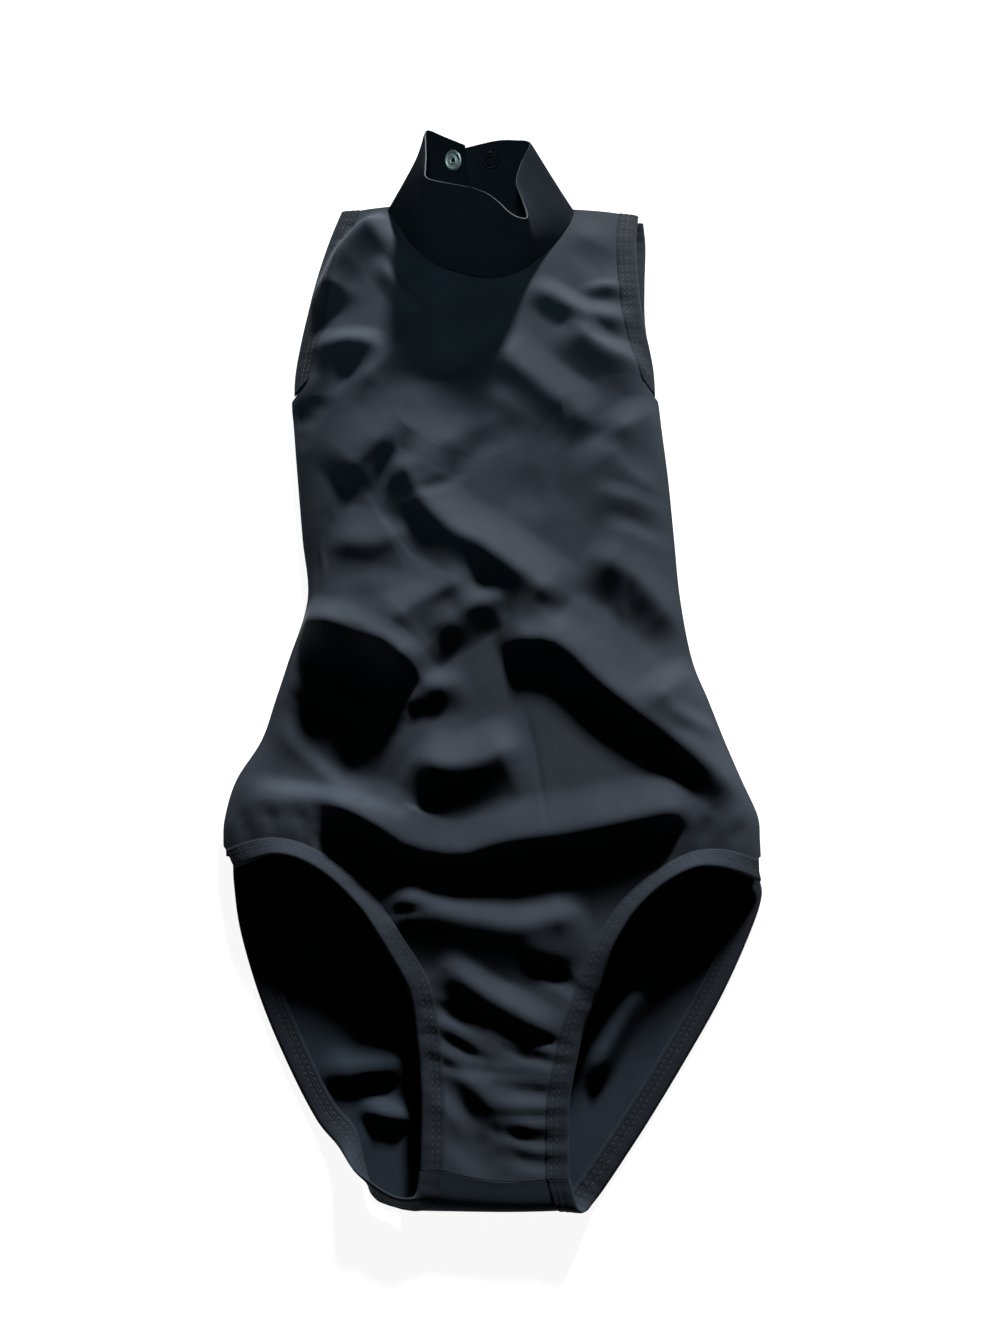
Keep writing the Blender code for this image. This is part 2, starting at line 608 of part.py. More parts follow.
def back_piece(left_leg, right_leg, left_arm, right_arm, material):
    """The back: flat on the table, ruled from side to side, and turned up round the crotch fold."""
    edges = []
    for leg, arm, column in ((left_leg, left_arm, 0), (right_leg, right_arm, 1)):
        y = np.linspace(SIDE_TOP, leg[0, 1] + 3.0, SIDE_STEPS // 2 + 1)
        side = np.column_stack([section_at(y)[column], y, np.full(len(y), BACK_WALL / 2)])
        notch = arm[:1] - (0.0, ARMHOLE_NOTCH, 0.0)
        edges.append(np.vstack([arm[::-1], notch, side, leg]))
    share = np.linspace(0.0, 1.0, BACK_COLUMNS + 1)[:, None, None]
    grid = (1 - share) * edges[0][None] + share * edges[1][None]
    top = smooth_rows(BACK_TOP, BACK_COLUMNS + 1, 3)
    below = np.maximum(grid[:, :1, 1] - grid[..., 1], 0.0)
    fade = np.exp(-((below / BACK_TOP_FADE) ** 2))
    armholes = np.clip(1.0 - below / (top[0, 1] - SIDE_TOP), 0.0, 1.0)
    shift = top - grid[:, 0]
    shift[[0, -1]] = 0.0
    grid[..., 0] += shift[:, :1] * armholes
    grid[..., 1] += shift[:, 1:2] * fade
    grid[..., 2] += shift[:, 2:] * fade
    from_leg = np.arange(grid.shape[1]) - (grid.shape[1] - len(left_leg))
    sag = np.clip(from_leg / (len(left_leg) - 1.0), 0.0, 1.0) ** 8
    grid[..., 1] -= CROTCH_SEAM_SAG * 4 * share[..., 0] * (1 - share[..., 0]) * sag
    on_table = grid[..., 2] < BACK_WALL
    grid[..., 2] += np.where(on_table, fold_height(grid[..., 0], grid[..., 1], BACK_FOLDS), 0.0)
    grid = grid[:, ::-1]
    return grid_wall("back_panel", grid, BACK_WALL, material)


def collar_points(column, height):
    """Points of the collar at a share of its length and of its height, ruled from the seam to the rim."""
    rows = between_rows(COLLAR, RISE_STEPS)
    at = np.linspace(0.0, 1.0, len(rows))
    both = np.column_stack([np.interp(column, at, line) for line in rows.T])
    return both[:, :3] + (both[:, 3:] - both[:, :3]) * np.reshape(height, (-1, 1))


def collar_piece(material):
    """The collar: one doubled band, open at the centre back."""
    column = np.linspace(0.0, 1.0, COLLAR_COLUMNS + 1)
    levels = np.linspace(0.0, 1.0, COLLAR_ROWS + 1)
    grid = np.stack([collar_points(column, np.full(len(column), level)) for level in levels], axis=1)
    return grid_wall("collar", grid, COLLAR_WALL, material)


def snap_piece(snap, material):
    """One face of the snap, turned round an axis that stands square on the collar."""
    step = 0.02
    places = collar_points(
        np.array([snap.column, snap.column + step, snap.column]),
        np.array([snap.height, snap.height, snap.height + step]),
    )
    along = places[1] - places[0]
    along /= np.linalg.norm(along)
    out = np.cross(along, places[2] - places[0])
    out *= snap.side / np.linalg.norm(out)
    over = np.cross(out, along)
    base = places[0] + out * (COLLAR_WALL / 2 + SNAP_LIFT)
    radius, hole, depth = snap.radius, snap.hole, SNAP_DEPTH
    profile = [(radius, 0.0), (radius, 0.6 * depth), (radius - 0.5, depth), (radius - 1.7, depth)]
    profile += [(radius - 2.1, 0.55 * depth), (hole + 1.1, 0.55 * depth), (hole + 0.8, 1.3 * depth)]
    if hole:
        profile += [(hole, 1.3 * depth), (hole, 0.0)]
    turn = np.linspace(0.0, 2 * math.pi, SNAP_SIDES, endpoint=False)
    rings = []
    for reach, rise in profile:
        spoke = np.cos(turn)[:, None] * along + np.sin(turn)[:, None] * over
        rings.append(base + reach * spoke + rise * out)
    points = np.vstack(rings)
    index = np.arange(len(points)).reshape(len(profile), SNAP_SIDES)
    faces = []
    count = len(profile)
    for k in range(count if hole else count - 1):
        lower, upper = index[k], index[(k + 1) % count]
        for i in range(SNAP_SIDES):
            j = (i + 1) % SNAP_SIDES
            faces.append([lower[i], lower[j], upper[j], upper[i]])
    if not hole:
        faces.append(index[-1].tolist())
        faces.append(index[0][::-1].tolist())
    return new_piece(snap.name, points, faces, material)


def main():
    """Builds every piece of the leotard."""
    for thing in list(bpy.data.objects):
        bpy.data.objects.remove(thing, do_unlink=True)
    satin = new_material("black_satin_front", (0.018, 0.021, 0.026), 0.42, 0.0)
    satin_back = new_material("black_satin_back", (0.016, 0.019, 0.024), 0.46, 0.0)
    satin_collar = new_material("black_satin_collar", (0.014, 0.016, 0.020), 0.45, 0.0)
    hem_cloth = new_material("black_satin_hem", (0.020, 0.023, 0.028), 0.50, 0.0)
    silver = new_material("polished_snap", (0.72, 0.72, 0.70), 0.25, 1.0)
    dark = new_material("black_snap", (0.02, 0.02, 0.022), 0.35, 1.0)

    count_left = LEG_STEPS_LEFT + THIGH_STEPS + 1
    count_right = LEG_STEPS_RIGHT + THIGH_STEPS + 1
    left_leg, left_hem = hem_rows(LEG_FRONT_LEFT, LEG_HEM_WIDTH, count_left)
    right_leg, right_hem = hem_rows(LEG_FRONT_RIGHT, LEG_HEM_WIDTH, count_right)
    left_arm, left_arm_hem = hem_rows(ARM_FRONT_LEFT, ARM_HEM_WIDTH, ARM_STEPS + 1)
    right_arm, right_arm_hem = hem_rows(ARM_FRONT_RIGHT, ARM_HEM_WIDTH, ARM_STEPS + 1)
    front_piece(left_leg, right_leg, left_arm, right_arm, satin)

    back_left, back_left_hem = strip_rows(LEG_BACK_LEFT, BACK_LEG_STEPS)
    back_right, back_right_hem = strip_rows(LEG_BACK_RIGHT, BACK_LEG_STEPS)
    back_arm_left, back_arm_left_hem = strip_rows(ARM_BACK_LEFT, BACK_LEG_STEPS)
    back_arm_right, back_arm_right_hem = strip_rows(ARM_BACK_RIGHT, BACK_LEG_STEPS)
    back_piece(back_left, back_right, back_arm_left, back_arm_right, satin_back)

    grid_wall("leg_hem_front_left", left_hem[::-1], HEM_WALL, hem_cloth)
    grid_wall("leg_hem_front_right", right_hem, HEM_WALL, hem_cloth)
    grid_wall("armhole_hem_front_left", left_arm_hem, HEM_WALL, hem_cloth)
    grid_wall("armhole_hem_front_right", right_arm_hem[::-1], HEM_WALL, hem_cloth)
    grid_wall("leg_hem_back_left", back_left_hem[::-1], HEM_WALL, hem_cloth)
    grid_wall("leg_hem_back_right", back_right_hem, HEM_WALL, hem_cloth)
    grid_wall("armhole_hem_back_left", back_arm_left_hem, HEM_WALL, hem_cloth)
    grid_wall("armhole_hem_back_right", back_arm_right_hem[::-1], HEM_WALL, hem_cloth)
    collar_piece(satin_collar)
    for snap in SNAPS:
        snap_piece(snap, silver if snap.metal else dark)


main()
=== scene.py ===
"""Black satin mock neck leotard laid face up: cloth, hems, stitching, snap, table, light and camera.

Tables and lengths are in millimetres in the garment's own layout: x = 0 near the middle of the hips, y = 0 at
the crotch fold and growing towards the collar, z = 0 on the table. Pieces are put in place in metres.
"""

import logging
import math
from dataclasses import dataclass
from enum import Enum
from typing import NamedTuple

import bpy
import numpy as np
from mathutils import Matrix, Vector


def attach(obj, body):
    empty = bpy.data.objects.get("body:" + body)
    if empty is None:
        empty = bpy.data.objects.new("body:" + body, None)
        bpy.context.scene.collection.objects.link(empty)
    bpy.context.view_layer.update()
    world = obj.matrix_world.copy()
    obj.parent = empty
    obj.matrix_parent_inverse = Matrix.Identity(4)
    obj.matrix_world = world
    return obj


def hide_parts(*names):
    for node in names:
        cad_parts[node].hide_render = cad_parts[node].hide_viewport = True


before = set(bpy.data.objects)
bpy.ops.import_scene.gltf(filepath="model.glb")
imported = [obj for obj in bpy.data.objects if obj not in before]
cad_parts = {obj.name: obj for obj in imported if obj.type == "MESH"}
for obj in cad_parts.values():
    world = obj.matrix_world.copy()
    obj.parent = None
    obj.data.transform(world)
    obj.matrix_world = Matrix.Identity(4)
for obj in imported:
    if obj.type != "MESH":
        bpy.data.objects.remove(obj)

log = logging.getLogger("leotard")

MM = 0.001
MIDDLE_X = -2.6
MIDDLE_Y = 285.2

PANEL_WALL = 0.8
BACK_WALL = 0.8
COLLAR_WALL = 1.3
HEM_WALL = 1.5
LEG_HEM_WIDTH = 10.5
ARM_HEM_WIDTH = 11.5
STITCH_ROWS = (0.22, 0.46)
SIDE_ROUNDING = 13.0
FLOOR_SOFTNESS = 0.8
LOWEST_FRONT = 2.2
LOWEST_FRONT_UNDERSIDE = 1.5
CREST_RADIUS = 3.0
FOLD_TAPER = 18.0
FOLD_FALL = 1.5
CROTCH_SEAM_SAG = 2.5
COLLAR_SEAM_OFFSET = (0.4, 0.3)
LEG_STEPS_LEFT = 14
LEG_STEPS_RIGHT = 13
CHORD_STEPS = 13
THIGH_STEPS = 11
SIDE_STEPS = 27
ARM_STEPS = 12
RISE_STEPS = 8


class Section(NamedTuple):
    """The garment cut across at y: its two side folds, their heights, and the front's height over them."""

    y: float
    left: float
    right: float
    left_z: float
    right_z: float
    crown: float


SECTIONS = (
    Section(0.0, -131.0, 129.0, 3.6, 3.6, 6.6),
    Section(60.0, -131.0, 129.0, 3.6, 3.6, 6.4),
    Section(110.0, -131.0, 129.0, 3.6, 3.6, 6.0),
    Section(135.0, -131.5, 129.0, 3.6, 3.6, 6.5),
    Section(152.0, -133.0, 129.5, 3.6, 3.6, 8.5),
    Section(168.0, -135.0, 129.8, 3.6, 3.6, 10.5),
    Section(180.0, -135.0, 129.5, 3.0, 3.0, 12.0),
    Section(198.0, -130.7, 122.6, 2.4, 2.4, 12.0),
    Section(218.0, -119.4, 115.2, 2.2, 2.2, 11.5),
    Section(239.0, -113.5, 108.2, 2.2, 2.2, 11.0),
    Section(260.0, -107.9, 101.0, 2.2, 2.2, 10.5),
    Section(293.0, -99.6, 96.3, 2.2, 2.2, 10.0),
    Section(327.0, -104.0, 94.6, 2.2, 2.2, 9.5),
    Section(362.0, -108.4, 92.9, 2.2, 2.2, 9.5),
    Section(392.0, -112.0, 90.4, 2.6, 2.8, 9.5),
    Section(410.0, -113.7, 88.8, 3.6, 4.0, 9.5),
    Section(435.0, -111.6, 84.5, 3.6, 5.5, 9.0),
    Section(461.0, -108.9, 81.5, 3.6, 7.0, 8.0),
    Section(491.0, -103.5, 79.5, 3.6, 7.5, 7.5),
    Section(515.0, -97.6, 80.5, 3.6, 7.0, 6.5),
    Section(532.0, -91.5, 83.0, 3.8, 6.0, 5.5),
)


class Fold(NamedTuple):
    """A fold in the cloth: its crest runs along the path, and it fades out over each side's reach."""

    name: str
    path: tuple
    height: float
    reach_left: float
    reach_right: float


FRONT_FOLDS = (
    Fold(
        "hip ridge",
        ((-92, 186), (-78, 184), (-60, 175), (-42, 164), (-18, 160), (4, 166), (40, 171), (98, 184)),
        5.5, 22, 12,
    ),
    Fold("left hip line", ((-130, 189), (-112, 187), (-95, 186), (-80, 185)), 1.5, 7, 9),
    Fold(
        "deep right hip fold",
        ((-2, 264), (12, 267), (25, 267), (36, 261), (53, 244), (78, 224), (107, 202), (124, 186)),
        8.5, 34, 16,
    ),
    Fold(
        "left waist fold",
        ((-112, 281), (-96, 279), (-78, 275), (-62, 269), (-49, 260), (-36, 246)),
        8.5, 38, 26,
    ),
    Fold(
        "left waist crest",
        ((-74, 273), (-60, 267), (-48, 258), (-39, 247), (-29, 243), (-14, 249)),
        4, 12, 16,
    ),
    Fold(
        "long waist diagonal",
        ((-58, 374), (-46, 356), (-36, 339), (-22, 326), (-5, 316), (36, 284)),
        8, 24, 22,
    ),
    Fold("belly fold", ((-46, 209), (-38, 205), (-24, 202), (-9, 204), (5, 210), (17, 213)), 7.5, 20, 26),
    Fold(
        "diamond rim",
        ((-88, 354), (-76, 366), (-62, 380), (-50, 387), (-34, 374), (-16, 364)),
        6.5, 36, 24,
    ),
    Fold("diamond hollow", ((-68, 363), (-54, 358)), -3, 18, 18),
    Fold("middle waist crest", ((-62, 270), (-50, 280), (-38, 289), (-22, 297), (-6, 302)), 6.5, 34, 19),
    Fold("middle waist ridge", ((-38, 270), (-24, 276), (-12, 285), (0, 289), (10, 290)), 5, 14, 16),
    Fold(
        "crotch top fold",
        ((-56, 144), (-44, 138), (-28, 132), (-8, 128), (14, 126), (46, 134)),
        5.5, 17, 26,
    ),
    Fold("crotch middle fold", ((-31, 112), (-17, 103), (-3, 94), (12, 86), (31, 76)), 3.5, 11, 12),
    Fold("left chest diagonal", ((-34, 460), (-44, 448), (-56, 435), (-68, 421), (-80, 406)), 3.5, 13, 12),
    Fold("left armhole fold", ((-110, 436), (-98, 439), (-82, 440), (-70, 438), (-60, 433)), 5.5, 12, 20),
    Fold("left shoulder ridge", ((-102, 462), (-96, 480), (-88, 498), (-76, 512), (-62, 523)), 6, 12, 32),
    Fold("right chest upper fold", ((14, 477), (30, 468), (44, 459), (58, 455), (80, 456)), 3.5, 12, 13),
    Fold("right chest lower fold", ((36, 455), (48, 443), (60, 434), (76, 428), (94, 417)), 5, 13, 22),
    Fold("right chest broad fold", ((-6, 444), (8, 426), (24, 410), (42, 396), (58, 384)), 4, 22, 30),
    Fold("right side upper fold", ((56, 378), (70, 388), (84, 397), (98, 408)), 6, 16, 34),
    Fold("right waist fold", ((52, 386), (60, 374), (72, 360), (92, 348)), 4, 16, 36),
    Fold("right side fold", ((44, 317), (58, 310), (70, 303), (82, 290), (98, 272)), 6, 28, 24),
    Fold("right hip upper fold", ((72, 228), (84, 239), (98, 250), (114, 253)), 6, 14, 22),
    Fold(
        "left waist upper fold",
        ((-94, 324), (-80, 321), (-66, 320), (-54, 324), (-44, 334)),
        4.5, 24, 28,
    ),
    Fold("left side crease", ((-90, 334), (-95, 316), (-98, 296)), -1.75, 6, 12),
    Fold("left hip hollow", ((-76, 238), (-84, 224), (-98, 208)), -12, 40, 40),
    Fold("left hip lower hollow", ((-124, 202), (-100, 198), (-76, 194), (-48, 185)), -5, 30, 9),
    Fold("left chest hollow", ((-92, 426), (-78, 427)), -2, 16, 18),
    Fold("middle chest hollow", ((-28, 438), (-20, 418)), -3.5, 32, 32),
)

BACK_FOLDS = (
    Fold("right leg opening fold", ((75, 107), (63, 90), (51, 70), (41, 51)), 5.0, 10, 14),
    Fold("left leg opening fold", ((-88, 60), (-74, 60), (-56, 62), (-34, 66)), 4.0, 16, 9),
    Fold("left leg lower fold", ((-67, 46), (-56, 43), (-44, 41), (-32, 43)), 3.5, 9, 7),
)

FINE_FOLDS = (
    Fold("collar seam tuck", ((-34, 484), (-20, 477), (-2, 474)), 0.8, 4, 4),
    Fold("chest crease", ((-70, 497), (-62, 484), (-53, 472), (-45, 464), (-37, 448)), 2.2, 6, 10),
    Fold("left shoulder crest", ((-100, 462), (-95, 482), (-86, 501), (-75, 515), (-60, 525)), 6, 9, 20),
    Fold("left neck crest", ((-62, 518), (-57, 506), (-48, 495), (-34, 486)), 2.0, 4, 16),
    Fold("right crotch pucker 1", ((32, 73), (22, 75), (6, 79)), -1.1, 5, 4),
    Fold("right crotch pucker 2", ((32, 64), (22, 66), (4, 71)), -1.0, 4, 5),
    Fold("right crotch pucker 3", ((30, 52), (18, 52), (0, 54)), -1.1, 6, 5),
    Fold("right crotch pucker 4", ((30, 42), (18, 42), (-2, 43)), -0.9, 4, 4),
    Fold("right crotch pucker 5", ((30, 32), (18, 32), (0, 36)), -1.2, 4, 7),
    Fold("right crotch pucker 6", ((30, 22), (16, 23), (2, 26)), -0.9, 5, 5),
    Fold("left crotch pucker 1", ((-32, 90), (-22, 87), (-8, 80)), -1.5, 6, 6),
    Fold("left crotch pucker 2", ((-31, 78), (-22, 74), (-4, 64)), -1.5, 5, 7),
    Fold("left crotch pucker 3", ((-30, 66), (-20, 63), (-6, 60)), -1.1, 6, 4),
    Fold("left crotch groove", ((-30, 64), (-22, 54), (-14, 46), (-6, 34)), -2, 10, 9),
    Fold("left crotch low groove", ((-26, 38), (-14, 30), (2, 18)), -1.2, 10, 10),
    Fold("crotch middle ridge", ((-24, 60), (-6, 51), (10, 42), (24, 32)), 1.8, 16, 14),
    Fold("crotch lining line", ((-25, 67), (-2, 64), (20, 62)), 0.4, 2, 2),
    Fold("left hip pucker 1", ((-122, 166), (-124, 175), (-129, 184)), -0.8, 6, 6),
    Fold("left hip pucker 2", ((-110, 169), (-110, 176), (-113, 183)), -0.7, 5, 5),
    Fold("left hip pucker 3", ((-94, 166), (-94, 174), (-98, 182)), -0.6, 5, 5),
    Fold("left hip pucker 4", ((-80, 158), (-85, 165), (-88, 174)), -0.9, 5, 6),
    Fold("left thigh pucker 1", ((-66, 145), (-58, 149), (-46, 151)), -1, 4, 4),
    Fold("left thigh pucker 2", ((-52, 131), (-45, 134), (-32, 134)), -1, 4, 4),
    Fold("right hip pucker 1", ((77, 154), (82, 162), (85, 173)), -1.1, 6, 6),
    Fold("right hip pucker 2", ((100, 164), (101, 171), (105, 180)), -0.9, 5, 6),
    Fold("right hip pucker 3", ((116, 163), (118, 170), (123, 177)), -0.8, 6, 5),
    Fold("right chest pocket 1", ((44, 484), (58, 492), (76, 492)), -1.0, 20, 18),
    Fold("right chest pocket 2", ((80, 466), (64, 466), (46, 472)), -0.7, 11, 11),
    Fold("right chest pocket 3", ((80, 450), (63, 449), (46, 453)), -0.6, 12, 12),
    Fold("right chest light ridge", ((44, 470), (58, 475), (74, 476)), 1.4, 6, 8),
    Fold("right shoulder soft fold", ((36, 516), (54, 506), (74, 494)), 1, 16, 16),
    Fold("left armhole pocket", ((-98, 486), (-90, 482), (-80, 470)), -1, 14, 14),
    Fold("left shoulder pucker 1", ((-93, 513), (-84, 508)), -0.5, 4, 4),
    Fold("left shoulder pucker 2", ((-87, 520), (-78, 514)), -0.5, 4, 4),
    Fold("left side spot", ((-94, 412), (-104, 398), (-108, 388)), -2.2, 12, 12),
    Fold("waist notch", ((-46, 348), (-33, 353), (-20, 362)), -1.1, 5, 6),
    Fold("upper middle trough", ((-44, 374), (-22, 367), (-8, 378), (6, 384)), -1.2, 12, 10),
    Fold("upper chest streak", ((-8, 422), (8, 412), (26, 400)), -1.2, 12, 12),
    Fold("upper chest cloud", ((-60, 392), (-46, 387), (-34, 390)), -1, 18, 16),
    Fold("middle chest cloud", ((22, 392), (32, 387), (44, 386)), -1, 18, 16),
    Fold("waist cloud", ((2, 356), (15, 351), (30, 352)), -1.2, 20, 18),
    Fold("left waist spot 1", ((-90, 310), (-67, 311), (-50, 318)), -0.8, 18, 18),
    Fold("left waist spot 2", ((-80, 286), (-66, 287), (-54, 284)), -1.3, 14, 12),
    Fold("left side line", ((-90, 330), (-93, 320), (-91, 308), (-93, 294)), 0.6, 3, 3),
    Fold("right side line", ((67, 306), (64, 290), (65, 272)), 0.6, 5, 7),
    Fold("right side pocket", ((66, 290), (76, 277), (90, 260)), -1.1, 16, 14),
    Fold("wedge trough", ((18, 296), (28, 286), (42, 276)), -1, 10, 10),
    Fold("left waist brow", ((-124, 286), (-106, 283), (-92, 279), (-72, 274)), 5, 14, 16),
    Fold("right waist soft ridge", ((46, 352), (66, 346), (94, 338)), 1.8, 10, 26),
    Fold("right side soft ridge", ((50, 330), (70, 326), (96, 316)), 1.5, 10, 20),
    Fold("left hip inner ridge", ((-54, 220), (-50, 231), (-41, 236), (-30, 233)), 2.2, 10, 12),
    Fold("left hip inner pocket", ((-40, 228), (-27, 231), (-10, 234)), -0.8, 13, 13),
    Fold("hip crease line", ((-98, 188), (-80, 184), (-62, 176), (-46, 167)), 0.6, 4, 4),
    Fold("press crease", ((13, 233), (18, 216), (21, 198), (24, 174)), -0.5, 2, 2),
    Fold("right hip strip", ((80, 233), (98, 226), (116, 219)), 1.8, 8, 8),
    Fold("right leg lit patch", ((8, 119), (24, 114), (42, 112)), 1.4, 12, 10),
    Fold("right leg dark stripe", ((18, 108), (30, 102), (42, 94)), -1.1, 6, 6),
)


class Edge(NamedTuple):
    """A place on the seam between the front and a hem, and which way the hem runs out from it, in degrees."""

    x: float
    y: float
    heading: float
    pitch: float


LEG_FRONT_LEFT = (
    Edge(-133.0, 163.0, -58, 0),
    Edge(-121.0, 166.5, -70, 18),
    Edge(-109.0, 168.0, -82, 36),
    Edge(-97.0, 166.0, -97, 44),
    Edge(-86.0, 161.5, -112, 46),
    Edge(-76.0, 155.5, -123, 44),
    Edge(-67.0, 148.0, -132, 42),
    Edge(-58.0, 139.0, -140, 40),
    Edge(-51.0, 130.0, -147, 36),
    Edge(-44.0, 120.0, -153, 30),
    Edge(-36.5, 109.0, -158, 20),
    Edge(-31.0, 98.0, -165, 8),
    Edge(-28.0, 84.0, -173, 0),
    Edge(-26.0, 70.0, -180, 0),
    Edge(-24.6, 56.0, -180, 0),
    Edge(-24.0, 42.0, -180, 0),
    Edge(-24.2, 19.9, -180, 0),
)
LEG_FRONT_RIGHT = (
    Edge(127.0, 158.0, -80, 0),
    Edge(117.5, 161.0, -84, 16),
    Edge(108.0, 162.5, -89, 30),
    Edge(98.0, 162.0, -88, 40),
    Edge(89.0, 159.0, -76, 48),
    Edge(79.0, 153.5, -62, 52),
    Edge(69.0, 146.5, -50, 50),
    Edge(59.5, 137.5, -38, 48),
    Edge(52.0, 127.5, -27, 44),
    Edge(46.0, 118.0, -19, 38),
    Edge(41.5, 108.0, -13, 28),
    Edge(38.0, 99.0, -9, 18),
    Edge(34.5, 91.0, -6, 8),
    Edge(30.0, 80.0, -3, 0),
    Edge(27.0, 67.0, 0, 0),
    Edge(24.2, 55.0, 0, 0),
    Edge(22.6, 42.0, 0, 0),
    Edge(22.3, 16.2, 0, 0),
)
ARM_FRONT_LEFT = (
    Edge(-104.6, 420.0, 226, 0),
    Edge(-101.0, 436.0, 192, 0),
    Edge(-97.0, 459.0, 171, 0),
    Edge(-92.6, 484.0, 169, 0),
    Edge(-86.5, 509.0, 166, 0),
    Edge(-80.0, 530.5, 172, 0),
)
ARM_FRONT_RIGHT = (
    Edge(79.6, 420.0, -46, 0),
    Edge(75.2, 436.0, -12, 3),
    Edge(70.4, 459.0, 5, 8),
    Edge(68.6, 484.0, 2, 10),
    Edge(68.4, 509.0, 0, 8),
    Edge(70.6, 526.5, 0, 4),
)


class Strip(NamedTuple):
    """A cross section of a hem on the back panel: its free edge, then its seam with the panel."""

    edge_x: float
    edge_y: float
    edge_z: float
    seam_x: float
    seam_y: float
    seam_z: float


LEG_BACK_LEFT = (
    Strip(-130.5, 157.0, 1.05, -120.5, 160.0, 1.05),
    Strip(-129.2, 146.0, 1.05, -118.9, 148.0, 1.05),
    Strip(-124.5, 124.0, 1.05, -114.5, 127.0, 1.05),
    Strip(-113.0, 93.0, 1.05, -103.5, 97.5, 1.05),
    Strip(-98.5, 64.0, 1.05, -89.2, 69.0, 1.05),
    Strip(-84.0, 40.0, 1.40, -76.0, 46.8, 1.05),
    Strip(-73.0, 29.0, 4.50, -66.0, 36.0, 1.30),
    Strip(-64.5, 20.5, 11.60, -60.7, 20.0, 1.90),
    Strip(-54.5, 13.5, 10.70, -56.0, 7.8, 2.15),
    Strip(-46.0, 9.2, 10.90, -47.0, 3.6, 2.20),
    Strip(-39.5, 8.6, 11.00, -35.5, 2.2, 3.80),
    Strip(-36.2, 10.6, 10.40, -26.5, 6.8, 8.60),
    Strip(-34.8, 19.5, 10.20, -24.4, 19.5, 10.20),
)
LEG_BACK_RIGHT = (
    Strip(129.0, 151.0, 1.05, 118.5, 151.0, 1.05),
    Strip(129.6, 140.0, 1.05, 119.6, 143.0, 1.05),
    Strip(121.2, 120.0, 1.05, 112.0, 125.0, 1.05),
    Strip(106.7, 93.0, 1.05, 97.8, 98.5, 1.05),
    Strip(89.2, 66.0, 1.05, 80.5, 72.0, 1.05),
    Strip(71.3, 40.0, 1.05, 63.0, 46.5, 1.05),
    Strip(58.8, 23.0, 1.05, 50.5, 29.5, 1.05),
    Strip(52.0, 14.0, 1.05, 44.0, 20.8, 1.05),
    Strip(47.5, 8.3, 1.10, 39.3, 14.8, 1.10),
    Strip(43.6, 4.2, 2.20, 34.2, 8.6, 1.30),
    Strip(40.4, 1.9, 5.00, 30.0, 2.9, 4.40),
    Strip(36.6, 4.2, 9.00, 26.2, 4.8, 8.80),
    Strip(33.3, 15.8, 10.20, 22.8, 15.8, 10.20),
)
ARM_BACK_LEFT = (
    Strip(-111.2, 411.6, 1.05, -103.2, 419.8, 1.05),
    Strip(-110.2, 432.0, 1.05, -99.3, 435.6, 1.05),
    Strip(-106.6, 460.0, 1.05, -95.1, 458.0, 1.05),
    Strip(-102.0, 485.0, 1.05, -90.7, 482.5, 1.05),
    Strip(-95.8, 510.0, 1.05, -84.6, 507.0, 1.05),
    Strip(-90.0, 529.5, 1.25, -78.6, 528.5, 1.25),
)
ARM_BACK_RIGHT = (
    Strip(88.4, 411.6, 1.05, 80.2, 419.8, 1.05),
    Strip(87.0, 432.0, 1.05, 76.0, 435.4, 1.05),
    Strip(84.4, 460.0, 1.05, 72.9, 459.0, 1.05),
    Strip(85.0, 485.0, 1.05, 73.5, 485.0, 1.05),
    Strip(86.4, 510.0, 1.30, 74.9, 510.0, 1.30),
    Strip(85.4, 525.0, 3.20, 73.9, 525.4, 3.20),
)


class Rise(NamedTuple):
    """A column of the collar: its place on the neck seam, then its place on the free rim."""

    seam_x: float
    seam_y: float
    seam_z: float
    rim_x: float
    rim_y: float
    rim_z: float


COLLAR = (
    Rise(-12.0, 527.3, 6.6, -18.5, 553.6, 33.0),
    Rise(-28.0, 528.6, 6.8, -29.5, 562.0, 29.5),
    Rise(-47.0, 531.4, 8.2, -40.4, 569.0, 27.0),
    Rise(-60.6, 531.8, 10.2, -40.6, 556.0, 31.5),
    Rise(-60.8, 526.5, 10.8, -39.8, 543.0, 36.5),
    Rise(-56.6, 517.5, 11.2, -39.6, 531.0, 41.0),
    Rise(-47.6, 502.6, 12.0, -38.4, 523.0, 43.0),
    Rise(-37.2, 492.6, 13.0, -27.0, 519.6, 43.0),
    Rise(-26.8, 486.6, 13.8, -15.0, 517.0, 43.0),
    Rise(-9.8, 481.6, 14.2, -5.6, 513.0, 43.0),
    Rise(1.0, 481.6, 14.2, 1.0, 508.0, 42.0),
    Rise(8.6, 483.6, 14.0, 6.4, 502.8, 41.0),
    Rise(14.4, 486.8, 13.6, 11.6, 500.2, 40.0),
    Rise(20.0, 490.8, 14.0, 16.4, 501.4, 39.0),
    Rise(29.4, 500.2, 13.8, 13.6, 515.7, 36.0),
    Rise(37.4, 511.4, 13.2, 10.6, 528.7, 33.0),
    Rise(42.6, 521.6, 12.2, 13.4, 544.8, 29.0),
    Rise(42.8, 528.2, 10.8, 18.6, 561.5, 25.5),
    Rise(31.0, 528.8, 7.6, 10.0, 564.0, 25.0),
    Rise(16.0, 528.2, 5.4, 0.5, 564.2, 24.6),
    Rise(5.0, 527.8, 4.2, -9.0, 562.6, 23.8),
    Rise(-5.0, 527.6, 3.8, -17.5, 560.8, 23.0),
    Rise(-17.0, 527.4, 3.6, -25.5, 559.6, 22.4),
)

